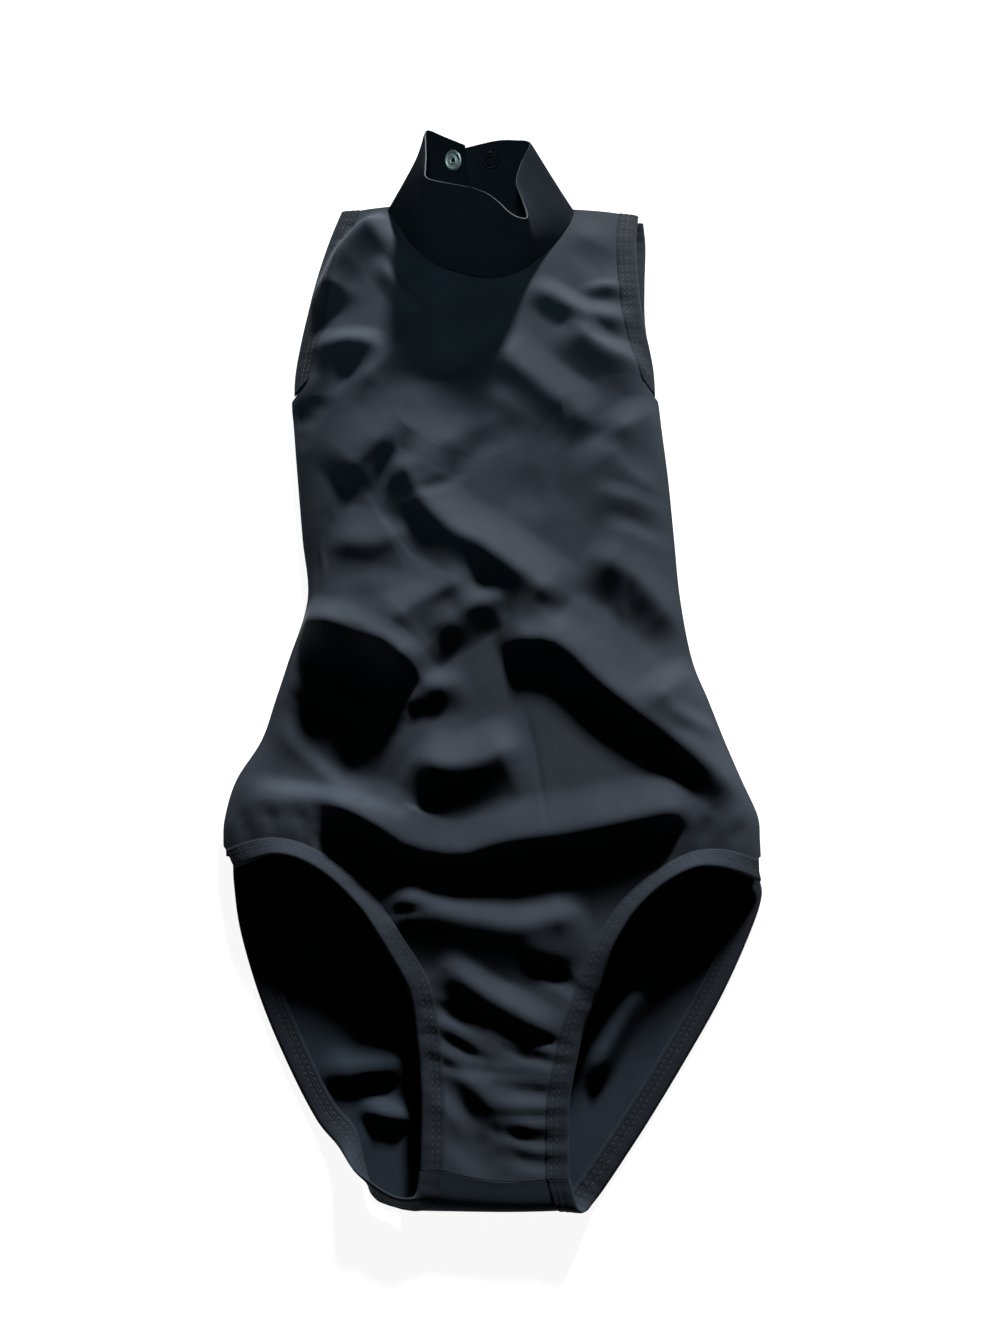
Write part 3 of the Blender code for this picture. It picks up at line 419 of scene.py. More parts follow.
BACK_TOP = (
    (-78.6, 528.5, 0.6),
    (-70.0, 529.2, 3.4),
    (-61.5, 529.6, 6.6),
    (-47.0, 528.6, 6.2),
    (-28.0, 526.2, 3.4),
    (-9.0, 525.2, 1.8),
    (12.0, 525.4, 1.8),
    (28.0, 526.0, 3.4),
    (43.5, 526.6, 6.4),
    (59.0, 525.8, 5.2),
    (73.9, 525.4, 2.8),
)
BACK_TOP_FADE = 9.0
SIDE_TOP = 408.6
ARMHOLE_NOTCH = 0.8
FRONT_NECK_COLUMNS = (3, 17)
NECK_CENTRE = (-9.0, 526.0)


def smooth_rows(rows: object, count: int, lengths: int = 2) -> np.ndarray:
    """Evenly spaced points on a smooth curve through every row.

    Between two rows the curve is the cubic whose slope at each row is half the step between its neighbours.

    Args:
        rows: The table, one row for each place.
        count: How many points come back.
        lengths: How many of the first columns are lengths to space the points by.

    Returns:
        The points, one row each, with all of the table's columns.
    """
    fine = between_rows(rows, 12)
    way = np.linalg.norm(np.diff(fine[:, :lengths], axis=0), axis=1)
    way = np.concatenate([[0.0], np.cumsum(way)])
    at = np.linspace(0.0, way[-1], count)
    return np.column_stack([np.interp(at, way, column) for column in fine.T])


def between_rows(rows: object, steps: int) -> np.ndarray:
    """The same smooth curve with a fixed number of steps from each row to the next.

    Args:
        rows: The table, one row for each place.
        steps: How many steps each span gets.

    Returns:
        The points, one row each.
    """
    rows = np.asarray(rows, float)
    ends = np.vstack([2 * rows[0] - rows[1], rows, 2 * rows[-1] - rows[-2]])
    before, here, there, after = (ends[k : len(ends) - 3 + k, None] for k in range(4))
    step = np.linspace(0.0, 1.0, steps, endpoint=False)[None, :, None]
    bend = 2 * before - 5 * here + 4 * there - after
    twist = 3 * (here - there) + after - before
    spans = here + 0.5 * step * (there - before + step * (bend + step * twist))
    return np.vstack([spans.reshape(-1, rows.shape[1]), rows[-1:]])


@dataclass(frozen=True)
class Relief:
    """A set of folds that are added to a surface."""

    folds: tuple

    def height(self, x: np.ndarray, y: np.ndarray) -> np.ndarray:
        """Adds up the folds at plan points.

        A crest falls away as a power of (1 - u), where u is the distance from it as a share of its reach,
        rounded over the crest's radius. A hollow is the bowl (1 - t squared) squared, where t is the plain
        distance as a share of the reach.

        Args:
            x: Plan x of each point.
            y: Plan y of each point.

        Returns:
            The height to add at each point.
        """
        total = np.zeros_like(x)
        for fold in self.folds:
            path = smooth_rows(fold.path, 20)
            reach = max(fold.reach_left, fold.reach_right)
            near = (x > path[:, 0].min() - reach) & (x < path[:, 0].max() + reach)
            near &= (y > path[:, 1].min() - reach) & (y < path[:, 1].max() + reach)
            if near.any():
                total[near] += self.one_fold(fold, path, x[near], y[near])
        return total

    @staticmethod
    def one_fold(fold: Fold, path: np.ndarray, x: np.ndarray, y: np.ndarray) -> np.ndarray:
        """The height of one fold, whose two sides have reaches of their own and whose ends fade.

        Args:
            fold: The fold.
            path: Points along its crest.
            x: Plan x of each point.
            y: Plan y of each point.

        Returns:
            The fold's height at each point.
        """
        start, run = path[:-1], np.diff(path, axis=0)
        from_start = np.stack([x[:, None] - start[:, 0], y[:, None] - start[:, 1]], -1)
        share = np.clip((from_start * run).sum(-1) / (run**2).sum(-1), 0.0, 1.0)
        away = from_start - share[..., None] * run
        distance = np.hypot(away[..., 0], away[..., 1])
        nearest = distance.argmin(-1)[:, None]
        away = np.take_along_axis(distance, nearest, -1)[:, 0]
        turn = run[:, 0] * from_start[..., 1] - run[:, 1] * from_start[..., 0]
        on_left = np.take_along_axis(turn, nearest, -1)[:, 0] > 0
        reach = np.where(on_left, fold.reach_left, fold.reach_right)
        along = (nearest[:, 0] + np.take_along_axis(share, nearest, -1)[:, 0]) / len(run)
        taper = min(0.4, FOLD_TAPER / np.linalg.norm(run, axis=1).sum())
        fade = np.clip(np.minimum(along, 1.0 - along) / taper, 0.0, 1.0)
        ends = fade * fade * (3 - 2 * fade)
        if fold.height < 0:
            return fold.height * (0.35 + 0.65 * ends) * np.clip(1.0 - (away / reach) ** 2, 0.0, 1.0) ** 2
        radius = min(CREST_RADIUS, 0.3 * fold.reach_right)
        rounded = (np.hypot(away, radius) - radius) / (np.hypot(reach, radius) - radius)
        return fold.height * ends * (1.0 - np.clip(rounded, 0.0, 1.0)) ** FOLD_FALL


@dataclass(frozen=True)
class FrontForm:
    """The form of the laid front over the table."""

    sections: tuple = SECTIONS
    relief: Relief = Relief(FRONT_FOLDS)
    fine: Relief = Relief(FINE_FOLDS)
    fine_inset: float = 4.0

    def across(self, y: np.ndarray) -> list:
        """The side folds, their heights and the crown at each y, on smooth curves through the sections."""
        curve = between_rows(self.sections, 6)
        return [np.interp(y, curve[:, 0], curve[:, k]) for k in range(1, 6)]

    def height(self, x: np.ndarray, y: np.ndarray) -> np.ndarray:
        """Height of the cloth's middle: the side fold's height, plus the crown and the folds.

        The crown and folds grow from the side as one less the exponential of the distance over the rounding,
        and the sum is softly kept above the back.

        Args:
            x: Plan x of each point.
            y: Plan y of each point.

        Returns:
            The height of each point.
        """
        left, right, left_z, right_z, crown = self.across(y)
        inside = np.maximum(np.minimum(x - left, right - x), 0.0)
        across = np.clip((x - left) / (right - left), 0.0, 1.0)
        edge = left_z + (right_z - left_z) * across
        swell = 1.0 - np.exp(-inside / SIDE_ROUNDING)
        plain = edge + (crown + self.relief.height(x, y)) * swell
        over = (plain - LOWEST_FRONT) / FLOOR_SOFTNESS
        small = self.fine.height(x, y) * np.clip(inside / self.fine_inset, 0.0, 1.0)
        return LOWEST_FRONT + FLOOR_SOFTNESS * np.logaddexp(0.0, over) + small


def four_sided(bottom: np.ndarray, top: np.ndarray, left: np.ndarray, right: np.ndarray) -> np.ndarray:
    """Fills four border curves: the mean of both rulings, less the plane through the corners.

    Args:
        bottom: Points along the lower border.
        top: As many points along the upper border.
        left: Points up the left border.
        right: As many points up the right border.

    Returns:
        A grid of points, columns first.
    """
    u = np.linspace(0.0, 1.0, len(bottom))[:, None, None]
    v = np.linspace(0.0, 1.0, len(left))[None, :, None]
    upright = (1 - v) * bottom[:, None] + v * top[:, None]
    level = (1 - u) * left[None] + u * right[None]
    corners = (1 - u) * ((1 - v) * bottom[0] + v * top[0]) + u * ((1 - v) * bottom[-1] + v * top[-1])
    return upright + level - corners


def grid_faces(columns: int, rows: int) -> np.ndarray:
    """Four-sided faces of a grid whose points run along its rows first."""
    index = np.arange(columns * rows).reshape(columns, rows)
    corners = (index[:-1, :-1], index[1:, :-1], index[1:, 1:], index[:-1, 1:])
    return np.stack(corners, -1).reshape(-1, 4)


def point_normals(points: np.ndarray, faces: np.ndarray) -> np.ndarray:
    """The direction square to the surface at each point: the mean of its faces' cross products.

    Args:
        points: The surface's points.
        faces: Its four-sided faces.

    Returns:
        A unit vector for each point.
    """
    corners = points[faces]
    across = np.cross(corners[:, 2] - corners[:, 0], corners[:, 3] - corners[:, 1])
    normal = np.zeros_like(points)
    for k in range(4):
        np.add.at(normal, faces[:, k], across)
    return normal / np.maximum(np.linalg.norm(normal, axis=1), 1e-9)[:, None]


def add_piece(name: str, points: np.ndarray, faces: np.ndarray, plan: np.ndarray,
              material: bpy.types.Material) -> bpy.types.Object:
    """Adds one smooth mesh from points in the layout's millimetres, with a map of the cloth in metres.

    Args:
        name: The piece's name.
        points: Its points.
        faces: Its faces, all with the same number of corners.
        plan: Where each point lies on the flat cloth, in millimetres.
        material: Its material.

    Returns:
        The new object, at the origin.
    """
    mesh = bpy.data.meshes.new(name)
    size = faces.shape[1]
    mesh.vertices.add(len(points))
    mesh.vertices.foreach_set("co", ((points - (MIDDLE_X, MIDDLE_Y, 0.0)) * MM).ravel())
    mesh.loops.add(faces.size)
    mesh.loops.foreach_set("vertex_index", faces.ravel().astype(np.int32))
    mesh.polygons.add(len(faces))
    mesh.polygons.foreach_set("loop_start", np.arange(0, faces.size, size, dtype=np.int32))
    mesh.update(calc_edges=True)
    layer = mesh.uv_layers.new(name="cloth")
    layer.data.foreach_set("uv", (plan[faces.ravel()] * MM).ravel())
    mesh.validate()
    mesh.shade_smooth()
    mesh.set_sharp_from_angle(angle=math.radians(60))
    mesh.materials.append(material)
    piece = bpy.data.objects.new(name, mesh)
    bpy.context.scene.collection.objects.link(piece)
    return piece


def cloth_wall(name: str, middle: np.ndarray, faces: np.ndarray, half: object, plan: np.ndarray,
               material: bpy.types.Material, lowest: float = 0.0) -> bpy.types.Object:
    """A closed wall round a middle surface: each side lies half the thickness out along the normal.

    Args:
        name: The piece's name.
        middle: Points of the middle surface.
        faces: Its four-sided faces, facing up.
        half: Half the wall's thickness, one value or one for each point.
        plan: Where each point lies on the flat cloth.
        material: The cloth.
        lowest: No point of the underside lies lower than this.

    Returns:
        The new object.
    """
    normal = point_normals(middle, faces) * np.reshape(half, (-1, 1))
    upper, lower = middle + normal, middle - normal
    lower[:, 2] = np.maximum(lower[:, 2], lowest)
    count = len(middle)
    sides = np.stack([faces, np.roll(faces, -1, axis=1)], -1).reshape(-1, 2)
    code = np.sort(sides, axis=1) @ np.array([count, 1])
    _, which, uses = np.unique(code, return_inverse=True, return_counts=True)
    border = sides[uses[which.ravel()] == 1]
    rim = np.column_stack([border[:, 1], border[:, 0], border[:, 0] + count, border[:, 1] + count])
    every = np.vstack([faces, faces[:, ::-1] + count, rim])
    return add_piece(name, np.vstack([upper, lower]), every, np.vstack([plan, plan]), material)


class Nodes:
    """Short calls for making a material's nodes."""

    def __init__(self, name: str) -> None:
        """Starts a material with a Principled shader.

        Args:
            name: The material's name.
        """
        self.material = bpy.data.materials.new(name)
        self.material.use_nodes = True
        self.tree = self.material.node_tree
        self.shader = self.tree.nodes["Principled BSDF"]

    def add(self, kind: str, **settings: object) -> bpy.types.Node:
        """Adds a node and gives its inputs or properties their values.

        Args:
            kind: The node's type.
            settings: Values by input name, with _ for a space, or by property name.

        Returns:
            The node.
        """
        node = self.tree.nodes.new(kind)
        for key, value in settings.items():
            plain = key.replace("_", " ")
            if plain in node.inputs:
                node.inputs[plain].default_value = value
            else:
                setattr(node, key, value)
        return node

    def link(self, out: bpy.types.NodeSocket, into: bpy.types.NodeSocket) -> None:
        """Joins two sockets."""
        self.tree.links.new(out, into)

    def ramp(self, factor: bpy.types.NodeSocket, *stops: tuple) -> bpy.types.NodeSocket:
        """A colour ramp.

        Args:
            factor: What it reads.
            stops: Each stop's place and colour.

        Returns:
            The ramp's colour.
        """
        node = self.tree.nodes.new("ShaderNodeValToRGB")
        points = node.color_ramp.elements
        while len(points) < len(stops):
            points.new(0.5)
        for point, (place, colour) in zip(points, stops):
            point.position = place
            point.color = (*colour, 1.0)
        self.link(factor, node.inputs["Fac"])
        return node.outputs["Color"]


@dataclass(frozen=True)
class SatinFinish:
    """Satin stretch knit: fine ribs, a soft gloss and slightly uneven dye."""

    name: str
    dark: tuple = (0.0165, 0.0202, 0.0265)
    light: tuple = (0.0215, 0.0263, 0.0340)
    roughness: float = 0.80
    rib: float = 0.55
    relief: float = 0.05
    sheen: float = 0.03
    gloss: float = 0.06

    def material(self) -> bpy.types.Material:
        """Makes the material. It reads the piece's cloth map, in metres.

        Returns:
            The material.
        """
        make = Nodes(self.name)
        place = make.add("ShaderNodeUVMap", uv_map="cloth").outputs["UV"]
        cloud = make.add("ShaderNodeTexNoise", Scale=42.0, Detail=5.0, Roughness=0.6)
        grain = make.add("ShaderNodeTexNoise", Scale=1400.0, Detail=2.0, Roughness=0.5)
        ribs = make.add("ShaderNodeTexWave", Scale=2 * math.pi / (20 * self.rib * MM), Distortion=1.2)
        ribs.inputs["Detail"].default_value = 1.0
        for texture in (cloud, grain, ribs):
            make.link(place, texture.inputs["Vector"])
        colour = make.ramp(cloud.outputs["Fac"], (0.30, self.dark), (0.72, self.light))
        make.link(colour, make.shader.inputs["Base Color"])
        gloss = make.add("ShaderNodeMapRange", To_Min=self.roughness - 0.05, To_Max=self.roughness + 0.06)
        make.link(grain.outputs["Fac"], gloss.inputs["Value"])
        make.link(gloss.outputs["Result"], make.shader.inputs["Roughness"])
        height = make.add("ShaderNodeMix", data_type="FLOAT")
        height.inputs["Factor"].default_value = 0.5
        make.link(ribs.outputs["Fac"], height.inputs["A"])
        make.link(grain.outputs["Fac"], height.inputs["B"])
        bump = make.add("ShaderNodeBump", Strength=0.5, Distance=self.relief * MM)
        make.link(height.outputs["Result"], bump.inputs["Height"])
        make.link(bump.outputs["Normal"], make.shader.inputs["Normal"])
        make.shader.inputs["Sheen Weight"].default_value = self.sheen
        make.shader.inputs["Sheen Roughness"].default_value = 0.4
        make.shader.inputs["Sheen Tint"].default_value = (0.75, 0.85, 1.0, 1.0)
        make.shader.inputs["Specular IOR Level"].default_value = self.gloss
        make.shader.inputs["Specular Tint"].default_value = (0.62, 0.80, 1.0, 1.0)
        return make.material


@dataclass(frozen=True)
class ThreadFinish:
    """Twisted sewing thread with a little gloss."""

    name: str = "black_thread"
    dark: tuple = (0.006, 0.008, 0.011)
    light: tuple = (0.015, 0.018, 0.024)
    roughness: float = 0.75

    def material(self) -> bpy.types.Material:
        """Makes the material: fine slanted plies along the piece's own map.

        Returns:
            The material.
        """
        make = Nodes(self.name)
        place = make.add("ShaderNodeUVMap", uv_map="cloth").outputs["UV"]
        plies = make.add("ShaderNodeTexWave", bands_direction="DIAGONAL", Scale=900.0, Distortion=0.5)
        make.link(place, plies.inputs["Vector"])
        colour = make.ramp(plies.outputs["Fac"], (0.2, self.dark), (0.9, self.light))
        make.link(colour, make.shader.inputs["Base Color"])
        make.shader.inputs["Roughness"].default_value = self.roughness
        bump = make.add("ShaderNodeBump", Strength=0.4, Distance=0.05 * MM)
        make.link(plies.outputs["Fac"], bump.inputs["Height"])
        make.link(bump.outputs["Normal"], make.shader.inputs["Normal"])
        return make.material


@dataclass(frozen=True)
class MetalFinish:
    """A small turned metal part with fine wear."""

    name: str
    dark: tuple
    light: tuple
    roughness: float

    def material(self) -> bpy.types.Material:
        """Makes the material: metal whose tone and gloss vary with a fine noise on object coordinates.

        Returns:
            The material.
        """
        make = Nodes(self.name)
        place = make.add("ShaderNodeTexCoord").outputs["Object"]
        wear = make.add("ShaderNodeTexNoise", Scale=900.0, Detail=4.0, Roughness=0.6)
        make.link(place, wear.inputs["Vector"])
        colour = make.ramp(wear.outputs["Fac"], (0.35, self.dark), (0.65, self.light))
        make.link(colour, make.shader.inputs["Base Color"])
        gloss = make.add("ShaderNodeMapRange", To_Min=self.roughness - 0.06, To_Max=self.roughness + 0.10)
        make.link(wear.outputs["Fac"], gloss.inputs["Value"])
        make.link(gloss.outputs["Result"], make.shader.inputs["Roughness"])
        make.shader.inputs["Metallic"].default_value = 1.0
        return make.material


BLACK_SATIN = SatinFinish("black_satin")
INSIDE_SATIN = SatinFinish("black_satin_inside", (0.0125, 0.0170, 0.0235), (0.0165, 0.0220, 0.0300))
HEM_SATIN = SatinFinish("black_satin_hem", (0.0100, 0.0125, 0.0165), (0.0130, 0.0160, 0.0210), relief=0.07)
# Painted shade: the collar's satin is a darker copy of the body's, with no gloss or sheen, so the collar
# reads as shaded where the key light reaches it.
COLLAR_SATIN_PAINTED_SHADE = SatinFinish(
    "black_satin_collar", (0.0090, 0.0110, 0.0140), (0.0120, 0.0145, 0.0185), gloss=0.0, sheen=0.0)
# Painted highlight: a lighter satin for the faces along the collar's rim, where the rim catches the light.
RIM_PAINTED_HIGHLIGHT = SatinFinish("satin_rim_painted_highlight", (0.045, 0.050, 0.056), (0.060, 0.066, 0.074))
SILVER_SNAP = MetalFinish("polished_snap", (0.72, 0.72, 0.70), (0.92, 0.92, 0.90), 0.48)
BLACK_SNAP = MetalFinish("black_snap", (0.006, 0.006, 0.008), (0.018, 0.018, 0.021), 0.45)


class Half(Enum):
    """Which half of the garment a hem belongs to."""

    FRONT = "front"
    BACK = "back"


@dataclass(frozen=True)
class Hem:
    """One stretch of elastic hem: a folded band with a rounded free edge, and its rows of stitches."""

    node: str
    half_of: Half
    table: tuple
    width: float
    steps: int
    form: FrontForm
    turned: bool
    wall: float = HEM_WALL
    levels: int = 13
    under_seam: float = 0.04
    press: float = 0.22
    gather: float = 0.10
    gather_pitch: float = 6.3

    @property
    def share(self) -> np.ndarray:
        """Places across the hem, from just under its seam to its free edge, as shares of its width."""
        return np.linspace(-self.under_seam, 1.0, self.levels)

    def sections(self) -> np.ndarray:
        """Sections across the hem from the seam to the free edge.

        Returns:
            The middle points, one row of levels for each place along the hem.
        """
        share = self.share
        if self.half_of is Half.BACK:
            rows = between_rows(self.table, self.steps)
            edge, seam = rows[:, :3], rows[:, 3:]
            return seam[:, None] + (edge - seam)[:, None] * share[None, :, None]
        rows = smooth_rows(self.table, self.steps)
        heading, pitch = np.radians(rows[:, 2:3]), np.radians(rows[:, 3:4])
        out = self.width * share[None, :]
        x = rows[:, :1] + out * np.cos(pitch) * np.cos(heading)
        y = rows[:, 1:2] + out * np.cos(pitch) * np.sin(heading)
        z = self.form.height(x.ravel(), y.ravel()).reshape(x.shape) + out * np.sin(pitch)
        return np.stack([x, y, z], -1)

    def build(self, cloth: bpy.types.Material) -> bpy.types.Object:
        """Builds the band, whose half thickness falls to the free edge as a quarter circle.

        It is pressed in by a bell curve at each row of stitches, and gathered in waves along its length.

        Args:
            cloth: The hem's cloth.

        Returns:
            The band.
        """
        middle = self.sections()
        count, levels = middle.shape[:2]
        share = self.share
        step = np.linalg.norm(np.diff(middle[:, 0], axis=0), axis=1)
        along = np.concatenate([[0.0], np.cumsum(step)])
        near_edge = np.clip((share - 0.90) / 0.10, 0.0, 1.0)
        half = self.wall / 2 * np.sqrt(np.maximum(1.0 - near_edge**2, 0.02))
        pressed = sum(np.exp(-(((share - row) / 0.05) ** 2)) for row in STITCH_ROWS)
        wave = along[:, None] * 2 * math.pi / self.gather_pitch + 1.7 * np.sin(along[:, None] / 9.0)
        gathers = 0.5 + 0.5 * np.sin(wave)
        half = half[None] - self.press * pressed[None] + self.gather * gathers * (share < 0.85)[None]
        half[:, 0] *= 0.55
        plan = np.stack(np.broadcast_arrays(along[:, None], share[None] * self.width), -1)
        if self.turned:
            middle, half, plan = middle[::-1], half[::-1], plan[::-1]
        points = middle.reshape(-1, 3)
        return cloth_wall(f"{self.node}_band", points, grid_faces(count, levels), half.ravel(),
                          plan.reshape(-1, 2), cloth)


@dataclass(frozen=True)
class FrontPanel:
    """The front of the body and the crotch, in one piece of cloth."""

    form: FrontForm
    detail: int = 5
    wall: float = PANEL_WALL

    def plan(self) -> tuple:
        """The panel's plan: a four-sided body down to a chord over the crotch, and the crotch below it.

        Returns:
            The plan's points and its faces.
        """
        fine = self.detail
        steps_left, steps_right = LEG_STEPS_LEFT * fine, LEG_STEPS_RIGHT * fine
        chord_steps = CHORD_STEPS * fine
        left_leg = smooth_rows(LEG_FRONT_LEFT, (LEG_STEPS_LEFT + THIGH_STEPS) * fine + 1)[:, :2]
        right_leg = smooth_rows(LEG_FRONT_RIGHT, (LEG_STEPS_RIGHT + THIGH_STEPS) * fine + 1)[:, :2]
        share = np.linspace(0.0, 1.0, chord_steps + 1)[:, None]
        chord = left_leg[steps_left] * (1 - share) + right_leg[steps_right] * share
        bottom = np.vstack([left_leg[:steps_left], chord, right_leg[:steps_right][::-1]])
        neck = self.neck_line(chord_steps + 1)
        arm_tables = (ARM_FRONT_LEFT, ARM_FRONT_RIGHT)
        arms = [smooth_rows(table, ARM_STEPS * fine + 1)[:, :2] for table in arm_tables]
        shoulder_left = np.linspace(arms[0][-1], neck[0], steps_left + 1)
        shoulder_right = np.linspace(neck[-1], arms[1][-1], steps_right + 1)
        top = np.vstack([shoulder_left[:-1], neck, shoulder_right[1:]])
        sides = []
        for leg, arm, column in ((left_leg, arms[0], 0), (right_leg, arms[1], 1)):
            y = np.linspace(leg[0, 1], SIDE_TOP, SIDE_STEPS * fine + 1)
            x = self.form.across(y)[column]
            x[0] = leg[0, 0]
            notch = arm[:1] - (0.0, ARMHOLE_NOTCH)
            sides.append(np.vstack([np.column_stack([x, y]), notch, arm]))
        body = four_sided(bottom, top, *sides)
        body[..., 0] = np.sort(body[..., 0], axis=0)
        share = share[..., None]
        crotch = (1 - share) * left_leg[None, steps_left:] + share * right_leg[None, steps_right:]
        down = np.linspace(0.0, 1.0, THIGH_STEPS * fine + 1)[None, :] ** 2
        crotch[..., 1] -= CROTCH_SEAM_SAG * 4 * share[..., 0] * (1 - share[..., 0]) * down
        index = np.arange(body.shape[0] * body.shape[1]).reshape(body.shape[:2])
        chord_index = index[steps_left : steps_left + chord_steps + 1, 0]
        rest = index.size + np.arange((chord_steps + 1) * THIGH_STEPS * fine).reshape(chord_steps + 1, -1)
        lower = np.column_stack([chord_index, rest])
        corners = (lower[:-1, :-1], lower[:-1, 1:], lower[1:, 1:], lower[1:, :-1])
        faces = np.vstack([grid_faces(*body.shape[:2]), np.stack(corners, -1).reshape(-1, 4)])
        return np.vstack([body.reshape(-1, 2), crotch[:, 1:].reshape(-1, 2)]), faces

    def neck_line(self, count: int) -> np.ndarray:
        """The neck edge: the collar's seam, moved out from the neck opening.

        Args:
            count: How many points it gets.

        Returns:
            Plan points from left to right.
        """
        first, last = FRONT_NECK_COLUMNS
        seam = between_rows(COLLAR, RISE_STEPS)[first * RISE_STEPS : last * RISE_STEPS + 1, :2]
        seam = smooth_rows(seam, count)
        out = seam - NECK_CENTRE
        return seam + np.array(COLLAR_SEAM_OFFSET) * out / np.linalg.norm(out, axis=1)[:, None]

    def build(self, cloth: bpy.types.Material) -> bpy.types.Object:
        """Builds the panel as a thin wall on the form's height.

        Args:
            cloth: The panel's cloth.

        Returns:
            The panel.
        """
        plan, faces = self.plan()
        points = np.column_stack([plan, self.form.height(plan[:, 0], plan[:, 1])])
        return cloth_wall("front_cloth", points, faces, self.wall / 2, plan, cloth, LOWEST_FRONT_UNDERSIDE)


@dataclass(frozen=True)
class BackPanel:
    """The back of the body, flat on the table and turned up round the crotch fold."""

    form: FrontForm
    columns: int = 110
    detail: int = 6
    wall: float = BACK_WALL
    relief: Relief = Relief(BACK_FOLDS)
    side_end: float = 0.3
    creased_below: float = 1.2
    standing_seam: float = 2.6
    under_hem: float = 0.2

    def build(self, cloth: bpy.types.Material) -> bpy.types.Object:
        """Builds the panel from straight rulings, raised at the neck and creased in the leg openings.

        Args:
            cloth: The panel's cloth.

        Returns:
            The panel.
        """
        edges = []
        halves = ((LEG_BACK_LEFT, ARM_BACK_LEFT, 0), (LEG_BACK_RIGHT, ARM_BACK_RIGHT, 1))
        for leg_table, arm_table, column in halves:
            leg, arm = (self.seam(table) for table in (leg_table, arm_table))
            y = np.linspace(SIDE_TOP, leg[0, 1] + self.side_end, SIDE_STEPS * 3 + 1)
            side = np.column_stack([self.form.across(y)[column], y, np.full(len(y), self.wall / 2)])
            edges.append(np.vstack([arm[::-1], arm[:1] - (0.0, ARMHOLE_NOTCH, 0.0), side, leg]))
        share = np.linspace(0.0, 1.0, self.columns + 1)[:, None, None]
        grid = (1 - share) * edges[0][None] + share * edges[1][None]
        top = smooth_rows(BACK_TOP, self.columns + 1, 3)
        below = np.maximum(grid[:, :1, 1] - grid[..., 1], 0.0)
        fade = np.exp(-((below / BACK_TOP_FADE) ** 2))
        armholes = np.clip(1.0 - below / (top[0, 1] - SIDE_TOP), 0.0, 1.0)
        shift = top - grid[:, 0]
        grid[..., 0] += shift[:, :1] * armholes
        grid[..., 1] += shift[:, 1:2] * fade
        grid[..., 2] += shift[:, 2:] * fade
        from_leg = np.arange(grid.shape[1]) - (grid.shape[1] - self.leg_count)
        sag = np.clip(from_leg / (self.leg_count - 1.0), 0.0, 1.0) ** 8
        grid[..., 1] -= CROTCH_SEAM_SAG * 4 * share[..., 0] * (1 - share[..., 0]) * sag
        on_table = grid[..., 2] < self.creased_below
        creased = self.relief.height(grid[..., 0].ravel(), grid[..., 1].ravel()).reshape(on_table.shape)
        grid[..., 2] += np.where(on_table, creased, 0.0)
        grid = grid[:, ::-1]
        middle = grid.reshape(-1, 3)
        faces = grid_faces(*grid.shape[:2])
        return cloth_wall("back_cloth", middle, faces, self.wall / 2, middle[:, :2], cloth)

    @property
    def leg_count(self) -> int:
        """How many points the panel's edge has along a leg opening."""
        return (len(LEG_BACK_LEFT) - 1) * self.detail + 1

    def seam(self, table: tuple) -> np.ndarray:
        """The panel's edge under a hem: the hem's seam, laid on the table where the hem lies on it.

        Args:
            table: The hem's strips.

        Returns:
            Points along the edge.
        """
        rows = between_rows(table, self.detail)
        edge, seam = rows[:, :3], rows[:, 3:]
        flat = seam[:, 2] < self.standing_seam
        low = np.where(flat, self.wall / 2, seam[:, 2])
        inward = (seam - edge) / np.linalg.norm(seam - edge, axis=1)[:, None]
        inward = np.where(flat[:, None], inward, 0.0)
        return np.column_stack([seam[:, :2] - self.under_hem * inward[:, :2], np.maximum(low, self.wall / 2)])


